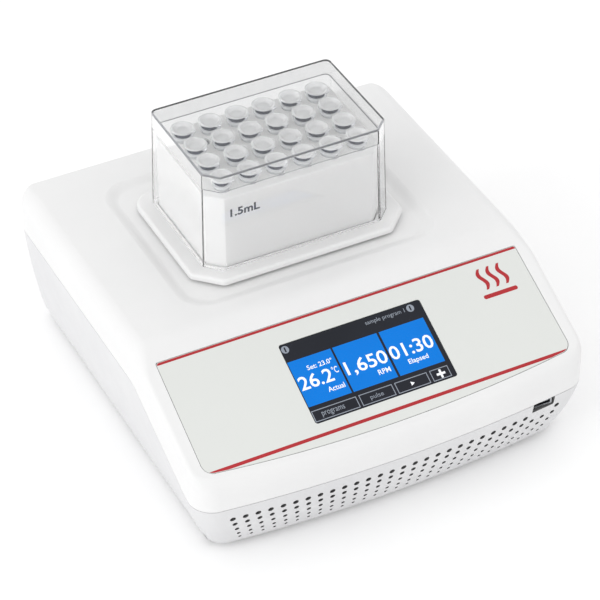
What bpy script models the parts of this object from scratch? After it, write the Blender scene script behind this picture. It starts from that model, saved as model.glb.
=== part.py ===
"""Heating block shaker for sample tubes: a dry block heater on an orbiting platform.

Frame: +X to the right seen from the front, +Y to the back, +Z up. The origin is on the
ground, under the middle of the machine's box. Sizes in the text are millimetres; MM turns
them into Blender's metres where a mesh is made.
"""

import math

import bmesh
import bpy
from mathutils import Matrix, Vector

MM = 0.001
GAP = 0.3  # between pieces that touch

# Housing: plan outline, deck, sloping front, seam between top shell and bottom tray.
BODY_HALF_WIDTH = 134.2
BODY_FRONT = -141.0
BODY_BACK = 141.0
BOW_RADIUS = 950.0
FRONT_CORNER_RADIUS = 16.0
BACK_CORNER_RADIUS = 12.0
DECK_Z = 108.3
CREASE_Y = -40.4
SLOPE = math.radians(25.1)
SEAM_BACK_Z = 80.0
SEAM_FRONT_Z = 45.0
FRONT_EDGE = (8.0, 11.0)  # inset and drop of the top edge's rounding
SLOPE_EDGE = (3.3, 2.8)
DECK_EDGE = (10.4, 10.0)
BACK_EDGE = (3.0, 7.0)
SHELL_WALL = 2.6
TRAY_WALL = 2.5
TRAY_BOTTOM_Z = 3.8
TRAY_FLOOR_Z = TRAY_BOTTOM_Z + 2.7
TRAY_HEEL_Z = 7.0
TRAY_INSET = 12.8
TRAY_BACK_INSET = 2.0

# Block, platform and lid, all centred on the block's axis.
BLOCK_Y = 39.4
BLOCK_HALF = (60.0, 39.8)
BLOCK_CHAMFER = 9.0
BLOCK_BOTTOM_Z = 104.3
BLOCK_TOP_Z = 163.4
WELL_PITCH = 18.7
WELL_COLUMNS = 6
WELL_ROWS = 4
WELL_RADIUS = 5.5
WELL_STRAIGHT = 22.0
WELL_DEPTH = 39.0
SCREW_SPOTS = ((-2.0 * WELL_PITCH, WELL_PITCH), (2.0 * WELL_PITCH, -WELL_PITCH))
COLLAR_HALF = (74.5, 53.3)
COLLAR_TOP_Z = 112.1
COLLAR_LIP = 2.4
COLLAR_CHAMFER = 16.0
NECK_HALF = (63.4, 45.6)
HOLE_HALF = (66.2, 48.6)
LID_BASE_HALF = (64.3, 43.8)
LID_DRAFT = 1.7
LID_TOP_Z = 182.0
LID_WALL = 1.6
LID_CHAMFER = 10.5
POCKET_HALF = (90.0, 72.0)
POCKET_Y = 43.4
POCKET_DEPTH = 2.3

# Orbiting drive.
ORBIT_RADIUS = 1.5
PLATE_TOP_Z = 90.0
PLATE_THICKNESS = 6.0
CHASSIS_Z = 58.0
CHASSIS_THICKNESS = 3.0
IDLER_SPOTS = ((-54.0, -36.0), (54.0, -36.0), (-54.0, 36.0), (54.0, 36.0))
POST_SPOTS = ((-72.0, -57.0), (72.0, -57.0), (-72.0, 57.0), (72.0, 57.0))

# Front panel, in its own frame: x to the right, s down the slope from the panel's top edge.
PANEL_TOP_Y = -54.2
PANEL_TOP_HALF = 123.9
PANEL_LOW_HALF = 125.2
PANEL_SIDE_LENGTH = 78.0
PANEL_BOW_LENGTH = 85.0
PANEL_CORNER = 7.0
OVERLAY_THICKNESS = 0.8
SCREEN_HALF_WIDTH = 48.4
SCREEN_SPAN = (14.2, 69.4)

# Vents in the bowed front: rows by height, columns by pitch in the top row.
VENT_COLUMNS = 29
VENT_PITCH = 8.0
VENT_ROWS = (34.2, 28.0, 21.5, 15.3, 10.2)
VENT_RADIUS = 1.7

# Fasteners, feet and the back wall's fittings.
CASE_SCREW_SPOTS = ((-107.0, -88.0), (107.0, -88.0), (-107.0, 117.0), (107.0, 117.0))
FOOT_SPOTS = ((-97.0, -105.0), (97.0, -105.0), (-97.0, 101.0), (97.0, 101.0))
FOOT_RADIUS = 8.0
BACK_FACE_Y = 140.6
BACK_INNER_Y = 136.2
INLET_X = 74.0
INLET_Z = 42.0
SWITCH_X = 30.0
FAN_X = -66.0
FAN_Z = 41.0
FAN_HALF = 30.0
PORT_X = 100.5
PORT_Z = 41.4


def lerp(start, end, share):
    return start + (end - start) * share


def blend(first, second, share):
    return tuple(lerp(a, b, share) for a, b in zip(first, second))


def top_height(y):
    """Height of the deck and of the sloping front at y."""
    return DECK_Z - math.tan(SLOPE) * max(0.0, CREASE_Y - y)


def seam_height(y):
    """Height of the seam: level at the back, then down along the front's slope."""
    return max(SEAM_FRONT_Z, SEAM_BACK_Z - math.tan(SLOPE) * max(0.0, CREASE_Y - y))


def arc(centre, radius, start, end, steps):
    points = []
    for step in range(steps + 1):
        angle = lerp(start, end, step / steps)
        points.append((centre[0] + radius * math.cos(angle), centre[1] + radius * math.sin(angle)))
    return points


def half_outline(inset=0.0, back_inset=0.0, corner=None):
    """Right half of the housing's plan outline, from the front's middle to the back corner."""
    half_width = BODY_HALF_WIDTH - inset
    bow = BOW_RADIUS - inset
    if corner is None:
        corner = FRONT_CORNER_RADIUS - inset
    bow_centre = (0.0, BODY_FRONT + BOW_RADIUS)
    corner_x = half_width - corner
    corner_y = bow_centre[1] - math.sqrt((bow - corner) ** 2 - corner_x**2)
    tangent = math.atan2(corner_y - bow_centre[1], corner_x)
    points = arc(bow_centre, bow, -math.pi / 2, tangent, 7)[:-1]
    points += arc((corner_x, corner_y), corner, tangent, 0.0, 6)
    points += [(half_width, y) for y in (-62.0, CREASE_Y, 45.0)]
    radius = max(BACK_CORNER_RADIUS - inset, 1.0)
    back_centre = (half_width - radius, BODY_BACK - back_inset - radius)
    points += arc(back_centre, radius, 0.0, math.pi / 2, 4)
    return points


def edge_sizes():
    """Inset and drop of the top edge's rounding at each point of the half outline."""
    front = [FRONT_EDGE] * 7
    corner = [blend(FRONT_EDGE, SLOPE_EDGE, step / 6) for step in range(7)]
    side = [SLOPE_EDGE, DECK_EDGE, DECK_EDGE]
    back = [blend(DECK_EDGE, BACK_EDGE, step / 4) for step in range(5)]
    return front + corner + side + back


def edge_outline(share, more=0.0):
    """Plan outline moved in by a share of the top edge's rounding, and by a little more."""
    outer = half_outline()
    deep = half_outline(4.0, 4.0)
    points = []
    for (x0, y0), (x1, y1), (inset, _) in zip(outer, deep, edge_sizes()):
        length = math.hypot(x1 - x0, y1 - y0)
        reach = (inset * share + more) / length
        points.append((lerp(x0, x1, reach), lerp(y0, y1, reach)))
    return both_halves(points)


def both_halves(half):
    return half + [(-x, y) for x, y in reversed(half[1:])]


def plate_outline(half, chamfer, back_radius=4.0, centre_y=BLOCK_Y):
    """Rectangle with chamfered front corners and rounded back corners, counterclockwise."""
    hx, hy = half
    points = [(hx - chamfer, -hy), (hx, -hy + chamfer)]
    points += arc((hx - back_radius, hy - back_radius), back_radius, 0.0, math.pi / 2, 4)
    points += arc((-hx + back_radius, hy - back_radius), back_radius, math.pi / 2, math.pi, 4)
    points += [(-hx, -hy + chamfer), (-hx + chamfer, -hy)]
    return [(x, y + centre_y) for x, y in points]


def rounded_rectangle(half, radius, centre=(0.0, 0.0), steps=5):
    hx, hy = half
    points = []
    for quarter, (sx, sy) in enumerate(((1, 1), (-1, 1), (-1, -1), (1, -1))):
        middle = (centre[0] + sx * (hx - radius), centre[1] + sy * (hy - radius))
        points += arc(middle, radius, quarter * math.pi / 2, (quarter + 1) * math.pi / 2, steps)
    return points


def ring(bm, points):
    return [bm.verts.new(point) for point in points]


def level(points, z):
    return [(x, y, z) for x, y in points]


def bridge(bm, lower, upper):
    count = len(lower)
    for i in range(count):
        j = (i + 1) % count
        bm.faces.new((lower[i], lower[j], upper[j], upper[i]))


def ladder(bm, verts):
    """Closes a left-right symmetric ring that starts at its front's middle with faces across it."""
    count = len(verts)
    for i in range(count // 2):
        face = [verts[i], verts[i + 1], verts[count - i - 1], verts[-i]]
        bm.faces.new(list(dict.fromkeys(face)))


def loft(rings, closed=False):
    """Solid through rings of points: capped at both ends, or joined end to end when closed."""
    bm = bmesh.new()
    loops = [ring(bm, points) for points in rings]
    for lower, upper in zip(loops, loops[1:]):
        bridge(bm, lower, upper)
    if closed:
        bridge(bm, loops[-1], loops[0])
    else:
        bm.faces.new(loops[0])
        bm.faces.new(loops[-1])
    return bm


def prism(points, z0, z1):
    return loft([level(points, z0), level(points, z1)])


def box(low, high):
    corners = ((low[0], low[1]), (high[0], low[1]), (high[0], high[1]), (low[0], high[1]))
    return prism(corners, low[2], high[2])


def turned(profile, sides, centre=(0.0, 0.0)):
    """Turned solid round a vertical axis. A profile that starts at radius 0 is closed by its poles."""
    bm = bmesh.new()
    poles = profile[0][0] == 0.0
    loops = []
    for radius, z in profile:
        if radius == 0.0:
            loops.append([bm.verts.new((centre[0], centre[1], z))])
            continue
        circle = arc(centre, radius, 0.0, 2.0 * math.pi, sides)[:-1]
        loops.append(ring(bm, level(circle, z)))
    pairs = list(zip(loops, loops[1:]))
    if not poles:
        pairs.append((loops[-1], loops[0]))
    for first, second in pairs:
        if len(first) == len(second):
            bridge(bm, first, second)
            continue
        pole, circle = (first, second) if len(first) == 1 else (second, first)
        for i in range(sides):
            bm.faces.new((pole[0], circle[i], circle[(i + 1) % sides]))
    return bm


def rod(radius, z0, z1, sides=16, centre=(0.0, 0.0)):
    return turned([(0.0, z0), (radius, z0), (radius, z1), (0.0, z1)], sides, centre)


def tube(inner, outer, z0, z1, sides=20, centre=(0.0, 0.0)):
    return turned([(inner, z0), (outer, z0), (outer, z1), (inner, z1)], sides, centre)


def placed(bm, matrix):
    bmesh.ops.transform(bm, matrix=matrix, verts=bm.verts)
    return bm


def along_y(bm, x, y, z):
    """Turns a shape made along +Z so that it runs along +Y, and moves it."""
    return placed(bm, Matrix.Translation((x, y, z)) @ Matrix.Rotation(-math.pi / 2, 4, "X"))


def on_panel(bm):
    """Moves a shape from the panel's frame (x, up the slope, out of it) to the sloping front."""
    origin = (0.0, PANEL_TOP_Y, top_height(PANEL_TOP_Y))
    return placed(bm, Matrix.Translation(origin) @ Matrix.Rotation(SLOPE, 4, "X"))


def material(name, colour, roughness, metallic=0.0):
    """Principled material, made once and shared."""
    if name in bpy.data.materials:
        return bpy.data.materials[name]
    made = bpy.data.materials.new(name)
    made.use_nodes = True
    shader = made.node_tree.nodes["Principled BSDF"]
    shader.inputs["Base Color"].default_value = (*colour, 1.0)
    shader.inputs["Roughness"].default_value = roughness
    shader.inputs["Metallic"].default_value = metallic
    return made


def body(name, bm, made_of, origin=(0.0, 0.0, 0.0)):
    """Turns a shape in millimetres into a named object whose origin is at the given place."""
    bmesh.ops.recalc_face_normals(bm, faces=bm.faces)
    bmesh.ops.transform(bm, matrix=Matrix.Translation(-Vector(origin)), verts=bm.verts)
    bmesh.ops.scale(bm, vec=(MM, MM, MM), verts=bm.verts)
    mesh = bpy.data.meshes.new(name)
    bm.to_mesh(mesh)
    bm.free()
    made = bpy.data.objects.new(name, mesh)
    bpy.context.scene.collection.objects.link(made)
    made.location = Vector(origin) * MM
    mesh.materials.append(made_of)
    mesh.shade_smooth()
    mesh.set_sharp_from_angle(angle=math.radians(35.0))
    return made


def boolean(target, bm, operation):
    """Applies one exact Boolean with a shape in world millimetres, then drops the shape."""
    tool = body("tool", bm, target.data.materials[0])
    modifier = target.modifiers.new("boolean", "BOOLEAN")
    modifier.operation = operation
    modifier.object = tool
    bpy.context.view_layer.update()
    evaluated = target.evaluated_get(bpy.context.evaluated_depsgraph_get())
    old = target.data
    result = bpy.data.meshes.new_from_object(evaluated)
    target.modifiers.clear()
    target.data = result
    result.name = target.name
    bpy.data.meshes.remove(old)
    bpy.data.objects.remove(tool)


def cut(target, *shapes):
    for shape in shapes:
        boolean(target, shape, "DIFFERENCE")


def add(target, *shapes):
    for shape in shapes:
        boolean(target, shape, "UNION")


def together(shapes):
    """Separate shapes as one mesh, for a single cut."""
    whole = bmesh.new()
    for shape in shapes:
        mesh = bpy.data.meshes.new("shape")
        bmesh.ops.recalc_face_normals(shape, faces=shape.faces)
        shape.to_mesh(mesh)
        shape.free()
        whole.from_mesh(mesh)
        bpy.data.meshes.remove(mesh)
    return whole


def hollow_body(name, made_of, outer, inner):
    """Thin-walled shell: rings from the rim to the crown, outside and inside."""
    bm = bmesh.new()
    outside = [ring(bm, points) for points in outer]
    inside = [ring(bm, points) for points in inner]
    for skin in (outside, inside):
        for lower, upper in zip(skin, skin[1:]):
            bridge(bm, lower, upper)
        ladder(bm, skin[-1])
    bridge(bm, outside[0], inside[0])
    return body(name, bm, made_of)


WHITE = ("white_plastic", (0.86, 0.86, 0.86), 0.45)
PALE = ("pale_plastic", (0.74, 0.74, 0.75), 0.5)
GREY_GREEN = ("overlay", (0.62, 0.64, 0.60), 0.5)
GLASS_BLACK = ("screen_glass", (0.01, 0.01, 0.012), 0.1)
CLEAR = ("clear_plastic", (0.85, 0.88, 0.9), 0.05)
ALUMINIUM = ("aluminium", (0.78, 0.79, 0.8), 0.35, 1.0)
STEEL = ("steel", (0.55, 0.56, 0.58), 0.35, 1.0)
BRASS = ("brass", (0.72, 0.55, 0.25), 0.35, 1.0)
BLACK = ("black_plastic", (0.03, 0.03, 0.03), 0.5)
RUBBER = ("rubber", (0.05, 0.05, 0.05), 0.8)
BOARD = ("circuit_board", (0.05, 0.22, 0.1), 0.5)
FOAM = ("insulation", (0.8, 0.77, 0.68), 0.9)
FUSE_GLASS = ("fuse_glass", (0.8, 0.85, 0.85), 0.1)


def panel_outline(margin=0.0):
    """Overlay's outline in the panel's frame: straight top, bowed lower edge, rounded low corners."""
    top, low = PANEL_TOP_HALF + margin, PANEL_LOW_HALF + margin
    side, bow = PANEL_SIDE_LENGTH + margin, PANEL_BOW_LENGTH + margin
    right = [(top, margin)]
    right += arc((low - PANEL_CORNER, -side + PANEL_CORNER), PANEL_CORNER, 0.0, -math.pi / 2, 5)
    for share in (0.75, 0.5, 0.25):
        right.append(((low - PANEL_CORNER) * share, -lerp(bow, side, share**2)))
    left = [(-x, v) for x, v in reversed(right)]
    return right + [(0.0, -bow)] + left


def make_top_shell():
    drops = [drop for _, drop in edge_sizes()]
    drops += drops[:0:-1]
    heights = [top_height(y) for _, y in edge_outline(1.0)]

    def edge_ring(points, share):
        return [(x, y, z - drop * share) for (x, y), z, drop in zip(points, heights, drops)]

    def seam_ring(inset):
        return [(x, y, seam_height(y)) for x, y in edge_outline(0.0, inset)]

    outer = [seam_ring(0.0)]
    for angle in (0.0, 22.5, 45.0, 67.5, 90.0):
        swing = math.radians(angle)
        outer.append(edge_ring(edge_outline(1.0 - math.cos(swing)), 1.0 - math.sin(swing)))
    inner = [
        seam_ring(SHELL_WALL),
        edge_ring(edge_outline(0.0, SHELL_WALL), 1.15),
        [(x, y, top_height(y) - SHELL_WALL) for x, y in edge_outline(1.0, 1.2)],
    ]
    shell = hollow_body("top_shell", material(*WHITE), outer, inner)
    cut_pocket(shell)
    cut_panel_recess(shell)
    for x, y in CASE_SCREW_SPOTS:
        top = top_height(y - 4.5) - 1.0
        add(shell, rod(4.5, 30.3, top, 12, (x, y)))
        cut(shell, rod(2.0, 29.0, 57.0, 8, (x, y)))


def cut_pocket(shell):
    """Shallow pocket in the deck round the platform, and the hole for the platform's neck."""
    centre = (0.0, POCKET_Y)
    slab = rounded_rectangle((POCKET_HALF[0] + 2.0, POCKET_HALF[1] + 2.0), 20.0, centre)
    floor_z = DECK_Z - POCKET_DEPTH
    add(shell, prism(slab, floor_z - 3.0, DECK_Z - 1.0))
    mouth = rounded_rectangle(POCKET_HALF, 19.0, centre)
    floor = rounded_rectangle((POCKET_HALF[0] - 5.0, POCKET_HALF[1] - 5.0), 15.0, centre)
    cut(shell, loft([level(floor, floor_z), level(mouth, DECK_Z), level(mouth, DECK_Z + 2.0)]))
    hole = rounded_rectangle(HOLE_HALF, 14.0, (-ORBIT_RADIUS, BLOCK_Y), 4)
    cut(shell, prism(hole, floor_z - 5.0, floor_z + 5.0))


def cut_panel_recess(shell):
    recess = OVERLAY_THICKNESS + GAP
    cut(shell, on_panel(prism(panel_outline(GAP), -recess, 3.0)))
    low, high = SCREEN_SPAN
    reach = SCREEN_HALF_WIDTH - 2.0
    window = box((-reach, -high + 2.0, -8.0), (reach, -low - 2.0, 2.0))
    cut(shell, on_panel(window))


def tray_inset(share):
    """How far the tray's wall has moved in at a share of the way from the seam to the heel."""
    return TRAY_INSET * (0.55 * share + 0.45 * share**2)


def tray_ring(share, extra=0.0, z=None):
    """Tray's outline at a share of the way from the seam down to the heel, pulled in by extra."""
    inset = tray_inset(share) + extra
    corner = FRONT_CORNER_RADIUS - 3.0 * share - extra
    points = both_halves(half_outline(inset, TRAY_BACK_INSET * share + extra, corner))
    rim = both_halves(half_outline())
    heights = [lerp(seam_height(y) - 0.4, TRAY_HEEL_Z, share) for _, y in rim]
    return [(x, y, height if z is None else z) for (x, y), height in zip(points, heights)]


def make_bottom_tray():
    outer = [tray_ring(share) for share in (0.0, 0.25, 0.5, 0.75, 1.0)]
    outer.append(tray_ring(1.0, 3.4, TRAY_BOTTOM_Z))
    inner = [tray_ring(share, TRAY_WALL) for share in (0.0, 0.5)]
    inner.append(tray_ring(0.96, TRAY_WALL, TRAY_FLOOR_Z + 2.5))
    inner.append(tray_ring(1.0, TRAY_WALL + 2.0, TRAY_FLOOR_Z))
    tray = hollow_body("bottom_tray", material(*PALE), outer, inner)
    cut(tray, together(vent_cutters()))
    for x, y in CASE_SCREW_SPOTS:
        add(tray, rod(5.4, TRAY_BOTTOM_Z + 1.0, 29.9, 12, (x, y)))
        cut(tray, rod(2.2, 0.0, 40.0, 8, (x, y)))
        cut(tray, rod(4.0, 0.0, 20.0, 8, (x, y)))
    cut(tray, box((PORT_X - 7.6, -150.0, PORT_Z - 3.4), (PORT_X + 7.6, -125.0, PORT_Z + 3.0)))
    cut_back_wall(tray)


def vent_cutters():
    """Short pins through the tray's front wall; the columns draw together towards the heel."""
    pins = []
    top_row = VENT_ROWS[0]
    for z in VENT_ROWS:
        drop = (top_row - z) / (top_row - VENT_ROWS[-1])
        share = (SEAM_FRONT_Z - z) / (SEAM_FRONT_Z - TRAY_HEEL_Z)
        for column in range(VENT_COLUMNS):
            x = (column - (VENT_COLUMNS - 1) / 2) * VENT_PITCH * lerp(1.0, 0.93, drop)
            if abs(x - PORT_X) < 9.5 and z == top_row:
                continue
            y = BODY_FRONT + tray_inset(share) + BOW_RADIUS - math.sqrt(BOW_RADIUS**2 - x**2)
            pins.append(along_y(rod(VENT_RADIUS, -2.5, 8.0, 6), x, y, z))
    return pins


def cut_back_wall(tray):
    """Openings for the mains inlet, the power switch and the fan's air."""
    cut(tray, box((INLET_X - 14.0, 130.0, INLET_Z - 19.0), (INLET_X + 14.0, 150.0, INLET_Z + 19.0)))
    cut(tray, box((SWITCH_X - 10.0, 130.0, INLET_Z - 6.8), (SWITCH_X + 10.0, 150.0, INLET_Z + 6.8)))
    slots = []
    for row in range(7):
        z = FAN_Z + (row - 3) * 7.0
        reach = math.sqrt(27.0**2 - (z - FAN_Z) ** 2)
        slots.append(box((FAN_X - reach, 130.0, z - 2.0), (FAN_X + reach, 150.0, z + 2.0)))
    cut(tray, together(slots))


def make_front_panel():
    low, high = SCREEN_SPAN
    overlay = body("front_overlay", on_panel(prism(panel_outline(), -OVERLAY_THICKNESS, 0.0)),
                   material(*GREY_GREEN))
    edge = SCREEN_HALF_WIDTH + GAP
    cut(overlay, on_panel(box((-edge, -high - GAP, -4.0), (edge, -low + GAP, 4.0))))
    glass = rounded_rectangle((SCREEN_HALF_WIDTH, (high - low) / 2), 1.5, (0.0, -(low + high) / 2), 3)
    body("touch_glass", on_panel(prism(glass, -OVERLAY_THICKNESS, 0.0)), material(*GLASS_BLACK))
    middle = (low + high) / 2
    under = SHELL_WALL * math.cos(SLOPE) + GAP
    module = box((-53.0, -middle - 33.5, -under - 6.0), (53.0, -middle + 33.5, -under))
    body("display_module", on_panel(module), material(*STEEL))


def make_usb_port():
    """Metal socket with a tongue: a slot above it, one below it, and a mouth before it."""
    front = BODY_FRONT + 8.5
    can = box((PORT_X - 7.2, front, PORT_Z - 3.1), (PORT_X + 7.2, front + 15.0, PORT_Z + 2.6))
    port = body("usb_port", can, material(*STEEL))
    for low_z, high_z, depth in ((0.2, 1.9, 9.0), (-2.5, -1.5, 9.0), (-2.5, 1.9, 1.5)):
        low = (PORT_X - 6.2, front - 2.0, PORT_Z + low_z)
        cut(port, box(low, (PORT_X + 6.2, front + depth, PORT_Z + high_z)))


def make_main_board():
    top = 13.6
    board = body("main_board", box((12.0, -112.0, 12.0), (96.0, -48.0, top)), material(*BOARD))
    chips = ((30.0, -70.0, 9.0, 9.0, 2.0), (62.0, -90.0, 6.0, 6.0, 2.5), (80.0, -60.0, 10.0, 5.0, 9.0))
    for x, y, half_x, half_y, height in chips:
        add(board, box((x - half_x, y - half_y, top - 0.4), (x + half_x, y + half_y, top + height)))


def make_power_supply():
    supply = body("power_supply", box((-98.0, -108.0, 7.0), (-22.0, -50.0, 37.0)), material(*STEEL))
    lefts = [-92.0 + 10.0 * i for i in range(7)]
    cut(supply, together([box((x, -101.0, 33.0), (x + 5.0, -57.0, 40.0)) for x in lefts]))


def make_chassis():
    outline = rounded_rectangle((82.0, 66.0), 6.0, (0.0, BLOCK_Y), 2)
    sheet = prism(outline, CHASSIS_Z, CHASSIS_Z + CHASSIS_THICKNESS)
    plate = body("chassis_plate", sheet, material(*ALUMINIUM))
    below, above = CHASSIS_Z - 3.0, CHASSIS_Z + 6.0
    cut(plate, rod(6.5, below, above, 20, (-ORBIT_RADIUS, BLOCK_Y)))
    holes = [rod(8.3, below, above, 20, (x - ORBIT_RADIUS, BLOCK_Y + y)) for x, y in IDLER_SPOTS]
    cut(plate, together(holes))
    for number, (x, y) in enumerate(POST_SPOTS, 1):
        post = rod(5.0, TRAY_FLOOR_Z + GAP, CHASSIS_Z - GAP, 6, (x, BLOCK_Y + y))
        body(f"chassis_post_{number}", post, material(*BRASS))


def make_drive():
    """Motor, and a crank whose pin stands off the shaft by the orbit's radius."""
    shaft = (-ORBIT_RADIUS, BLOCK_Y)
    pin = (0.0, BLOCK_Y)
    origin = (shaft[0], shaft[1], 62.0)
    can = [(4.4, 20.0), (27.0, 20.0), (29.0, 22.0), (29.0, 55.0), (24.0, 57.7), (4.4, 57.7)]
    body("motor_body", turned(can, 28, shaft), material(*STEEL))
    body("motor_shaft", rod(4.0, 18.0, 69.4, 16, shaft), material(*STEEL), origin)
    hub = [(0.0, 73.0), (11.0, 73.0), (11.0, 62.0), (4.3, 62.0), (4.3, 70.0), (0.0, 70.0)]
    crank = body("eccentric_crank", turned(hub, 24, shaft), material(*STEEL), origin)
    add(crank, rod(5.0, 72.0, 81.5, 20, pin))
    arm = arc(shaft, 32.0, math.radians(100.0), math.radians(260.0), 14)
    arm += arc(shaft, 11.4, math.radians(260.0), math.radians(100.0), 10)
    body("counterweight", prism(arm, 63.0, 69.0), material(*BRASS), origin)
    body("platform_bearing", tube(5.3, 12.7, 74.2, 81.2, 24, pin), material(*STEEL), (0.0, BLOCK_Y, 74.2))
    for number, (x, y) in enumerate(IDLER_SPOTS, 1):
        make_idler(number, x, BLOCK_Y + y)


def make_idler(number, x, y):
    """Idler crank: a journal in the chassis bearing and a pin in the orbit plate, side by side."""
    axis = (x - ORBIT_RADIUS, y)
    profile = [(0.0, 54.5), (4.0, 54.5), (4.0, 64.0), (9.0, 64.0), (9.0, 68.0), (0.0, 68.0)]
    crank = body(f"idler_crank_{number}", turned(profile, 16, axis), material(*STEEL), (*axis, 62.0))
    add(crank, rod(3.0, 67.0, 88.0, 12, (x, y)))
    body(f"idler_bearing_{number}", tube(4.3, 8.0, 56.5, 61.8, 16, axis), material(*STEEL))


def make_orbit_plate():
    """Plate that carries the heater, with a boss round the middle bearing and the idlers' holes."""
    bottom = PLATE_TOP_Z - PLATE_THICKNESS
    outline = rounded_rectangle((65.0, 49.0), 6.0, (0.0, BLOCK_Y), 2)
    slab = prism(outline, bottom, PLATE_TOP_Z)
    plate = body("orbit_plate", slab, material(*ALUMINIUM), (0.0, BLOCK_Y, bottom))
    add(plate, tube(13.0, 18.0, 73.5, bottom + 1.0, 24, (0.0, BLOCK_Y)))
    spots = [(x, BLOCK_Y + y) for x, y in IDLER_SPOTS]
    cut(plate, together([rod(3.4, bottom - 3.0, PLATE_TOP_Z + 3.0, 12, spot) for spot in spots]))


def make_heater():
    """Insulation, the heater plate over it, and the probe in the plate's right end."""
    low, high = (-58.5, BLOCK_Y - 40.0), (58.5, BLOCK_Y + 40.0)
    probe_place = Matrix.Translation((0.0, BLOCK_Y, 101.0)) @ Matrix.Rotation(math.pi / 2, 4, "Y")
    body("insulation_pad", box((*low, PLATE_TOP_Z + GAP), (*high, 97.7)), material(*FOAM))
    heater = body("heater_plate", box((*low, 98.0), (*high, BLOCK_BOTTOM_Z - GAP)), material(*ALUMINIUM))
    cut(heater, placed(rod(1.9, 28.0, 70.0, 10), probe_place))
    for x, y in SCREW_SPOTS:
        cut(heater, rod(2.4, 90.0, 110.0, 10, (x, BLOCK_Y + y)))
    body("temperature_probe", placed(rod(1.5, 30.0, 60.0, 10), probe_place), material(*STEEL))


def make_collar():
    """White frame round the heater: a flange over the pocket and a neck down to the orbit plate."""
    flange = plate_outline(COLLAR_HALF, COLLAR_CHAMFER, 14.0)
    ledge = plate_outline((COLLAR_HALF[0] - 2.0, COLLAR_HALF[1] - 2.0), COLLAR_CHAMFER - 0.8, 13.0)
    neck = plate_outline(NECK_HALF, 6.0, 10.0)
    bore = plate_outline((NECK_HALF[0] - 2.2, NECK_HALF[1] - 2.2), 5.2, 8.0)
    mouth = plate_outline((BLOCK_HALF[0] + 0.8, BLOCK_HALF[1] + 0.8), BLOCK_CHAMFER, 4.0)
    rings = [
        level(neck, PLATE_TOP_Z + GAP),
        level(neck, COLLAR_TOP_Z - COLLAR_LIP),
        level(flange, COLLAR_TOP_Z - COLLAR_LIP),
        level(flange, COLLAR_TOP_Z - 1.2),
        level(ledge, COLLAR_TOP_Z),
        level(mouth, COLLAR_TOP_Z),
        level(mouth, COLLAR_TOP_Z - 3.0),
        level(bore, COLLAR_TOP_Z - 4.5),
        level(bore, PLATE_TOP_Z + GAP),
    ]
    body("platform_collar", loft(rings, closed=True), material(*WHITE))


def well_centres():
    for row in range(WELL_ROWS):
        for column in range(WELL_COLUMNS):
            x = (column - (WELL_COLUMNS - 1) / 2) * WELL_PITCH
            y = BLOCK_Y + ((WELL_ROWS - 1) / 2 - row) * WELL_PITCH
            yield x, y


def make_block():
    """Aluminium block with cone-ended wells and two screws that hold it on the heater."""
    origin = (0.0, BLOCK_Y, BLOCK_BOTTOM_Z)
    top = BLOCK_TOP_Z
    outline = plate_outline(BLOCK_HALF, BLOCK_CHAMFER, 3.0)
    block = body("sample_block", prism(outline, BLOCK_BOTTOM_Z, top), material(*ALUMINIUM), origin)
    tip, shoulder = top - WELL_DEPTH, top - WELL_STRAIGHT
    well = [(0.0, tip), (1.8, tip), (WELL_RADIUS, shoulder), (WELL_RADIUS, top + 2.0), (0.0, top + 2.0)]
    cut(block, together([turned(well, 12, centre) for centre in well_centres()]))
    for side, (x, y) in zip(("left", "right"), SCREW_SPOTS):
        centre = (x, BLOCK_Y + y)
        cut(block, rod(2.6, BLOCK_BOTTOM_Z - 2.0, top + 2.0, 10, centre))
        cut(block, rod(4.6, top - 4.5, top + 2.0, 12, centre))
        make_block_screw(side, centre)


def make_block_screw(side, centre):
    x, y = centre
    low, high = 99.0, BLOCK_TOP_Z - 0.8
    under_head = high - 3.4
    profile = [(0.0, low), (2.0, low), (2.0, under_head), (4.0, under_head), (4.0, high), (0.0, high)]
    screw = body(f"block_screw_{side}", turned(profile, 12, centre), material(*STEEL), (x, y, low))
    cut(screw, box((x - 5.0, y - 0.6, high - 1.2), (x + 5.0, y + 0.6, high + 1.0)))


def make_lid():
    """Clear box over the block: straight thin walls with a little draft and a flat top."""
    base_z = COLLAR_TOP_Z + GAP

    def wall(inset, z):
        half = (LID_BASE_HALF[0] - inset, LID_BASE_HALF[1] - inset)
        return level(plate_outline(half, LID_CHAMFER - 0.4 * inset, 4.5), z)

    rings = [
        wall(LID_WALL, base_z),
        wall(0.0, base_z),
        wall(LID_DRAFT, LID_TOP_Z - 1.0),
        wall(LID_DRAFT + 1.0, LID_TOP_Z),
    ]
    bm = bmesh.new()
    loops = [ring(bm, points) for points in rings]
    inside = ring(bm, wall(LID_DRAFT + LID_WALL, LID_TOP_Z - 1.8))
    for lower, upper in zip(loops, loops[1:]):
        bridge(bm, lower, upper)
    bm.faces.new(loops[-1])
    bridge(bm, loops[0], inside)
    bm.faces.new(inside)
    body("clear_lid", bm, material(*CLEAR), (0.0, BLOCK_Y, base_z))


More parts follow.
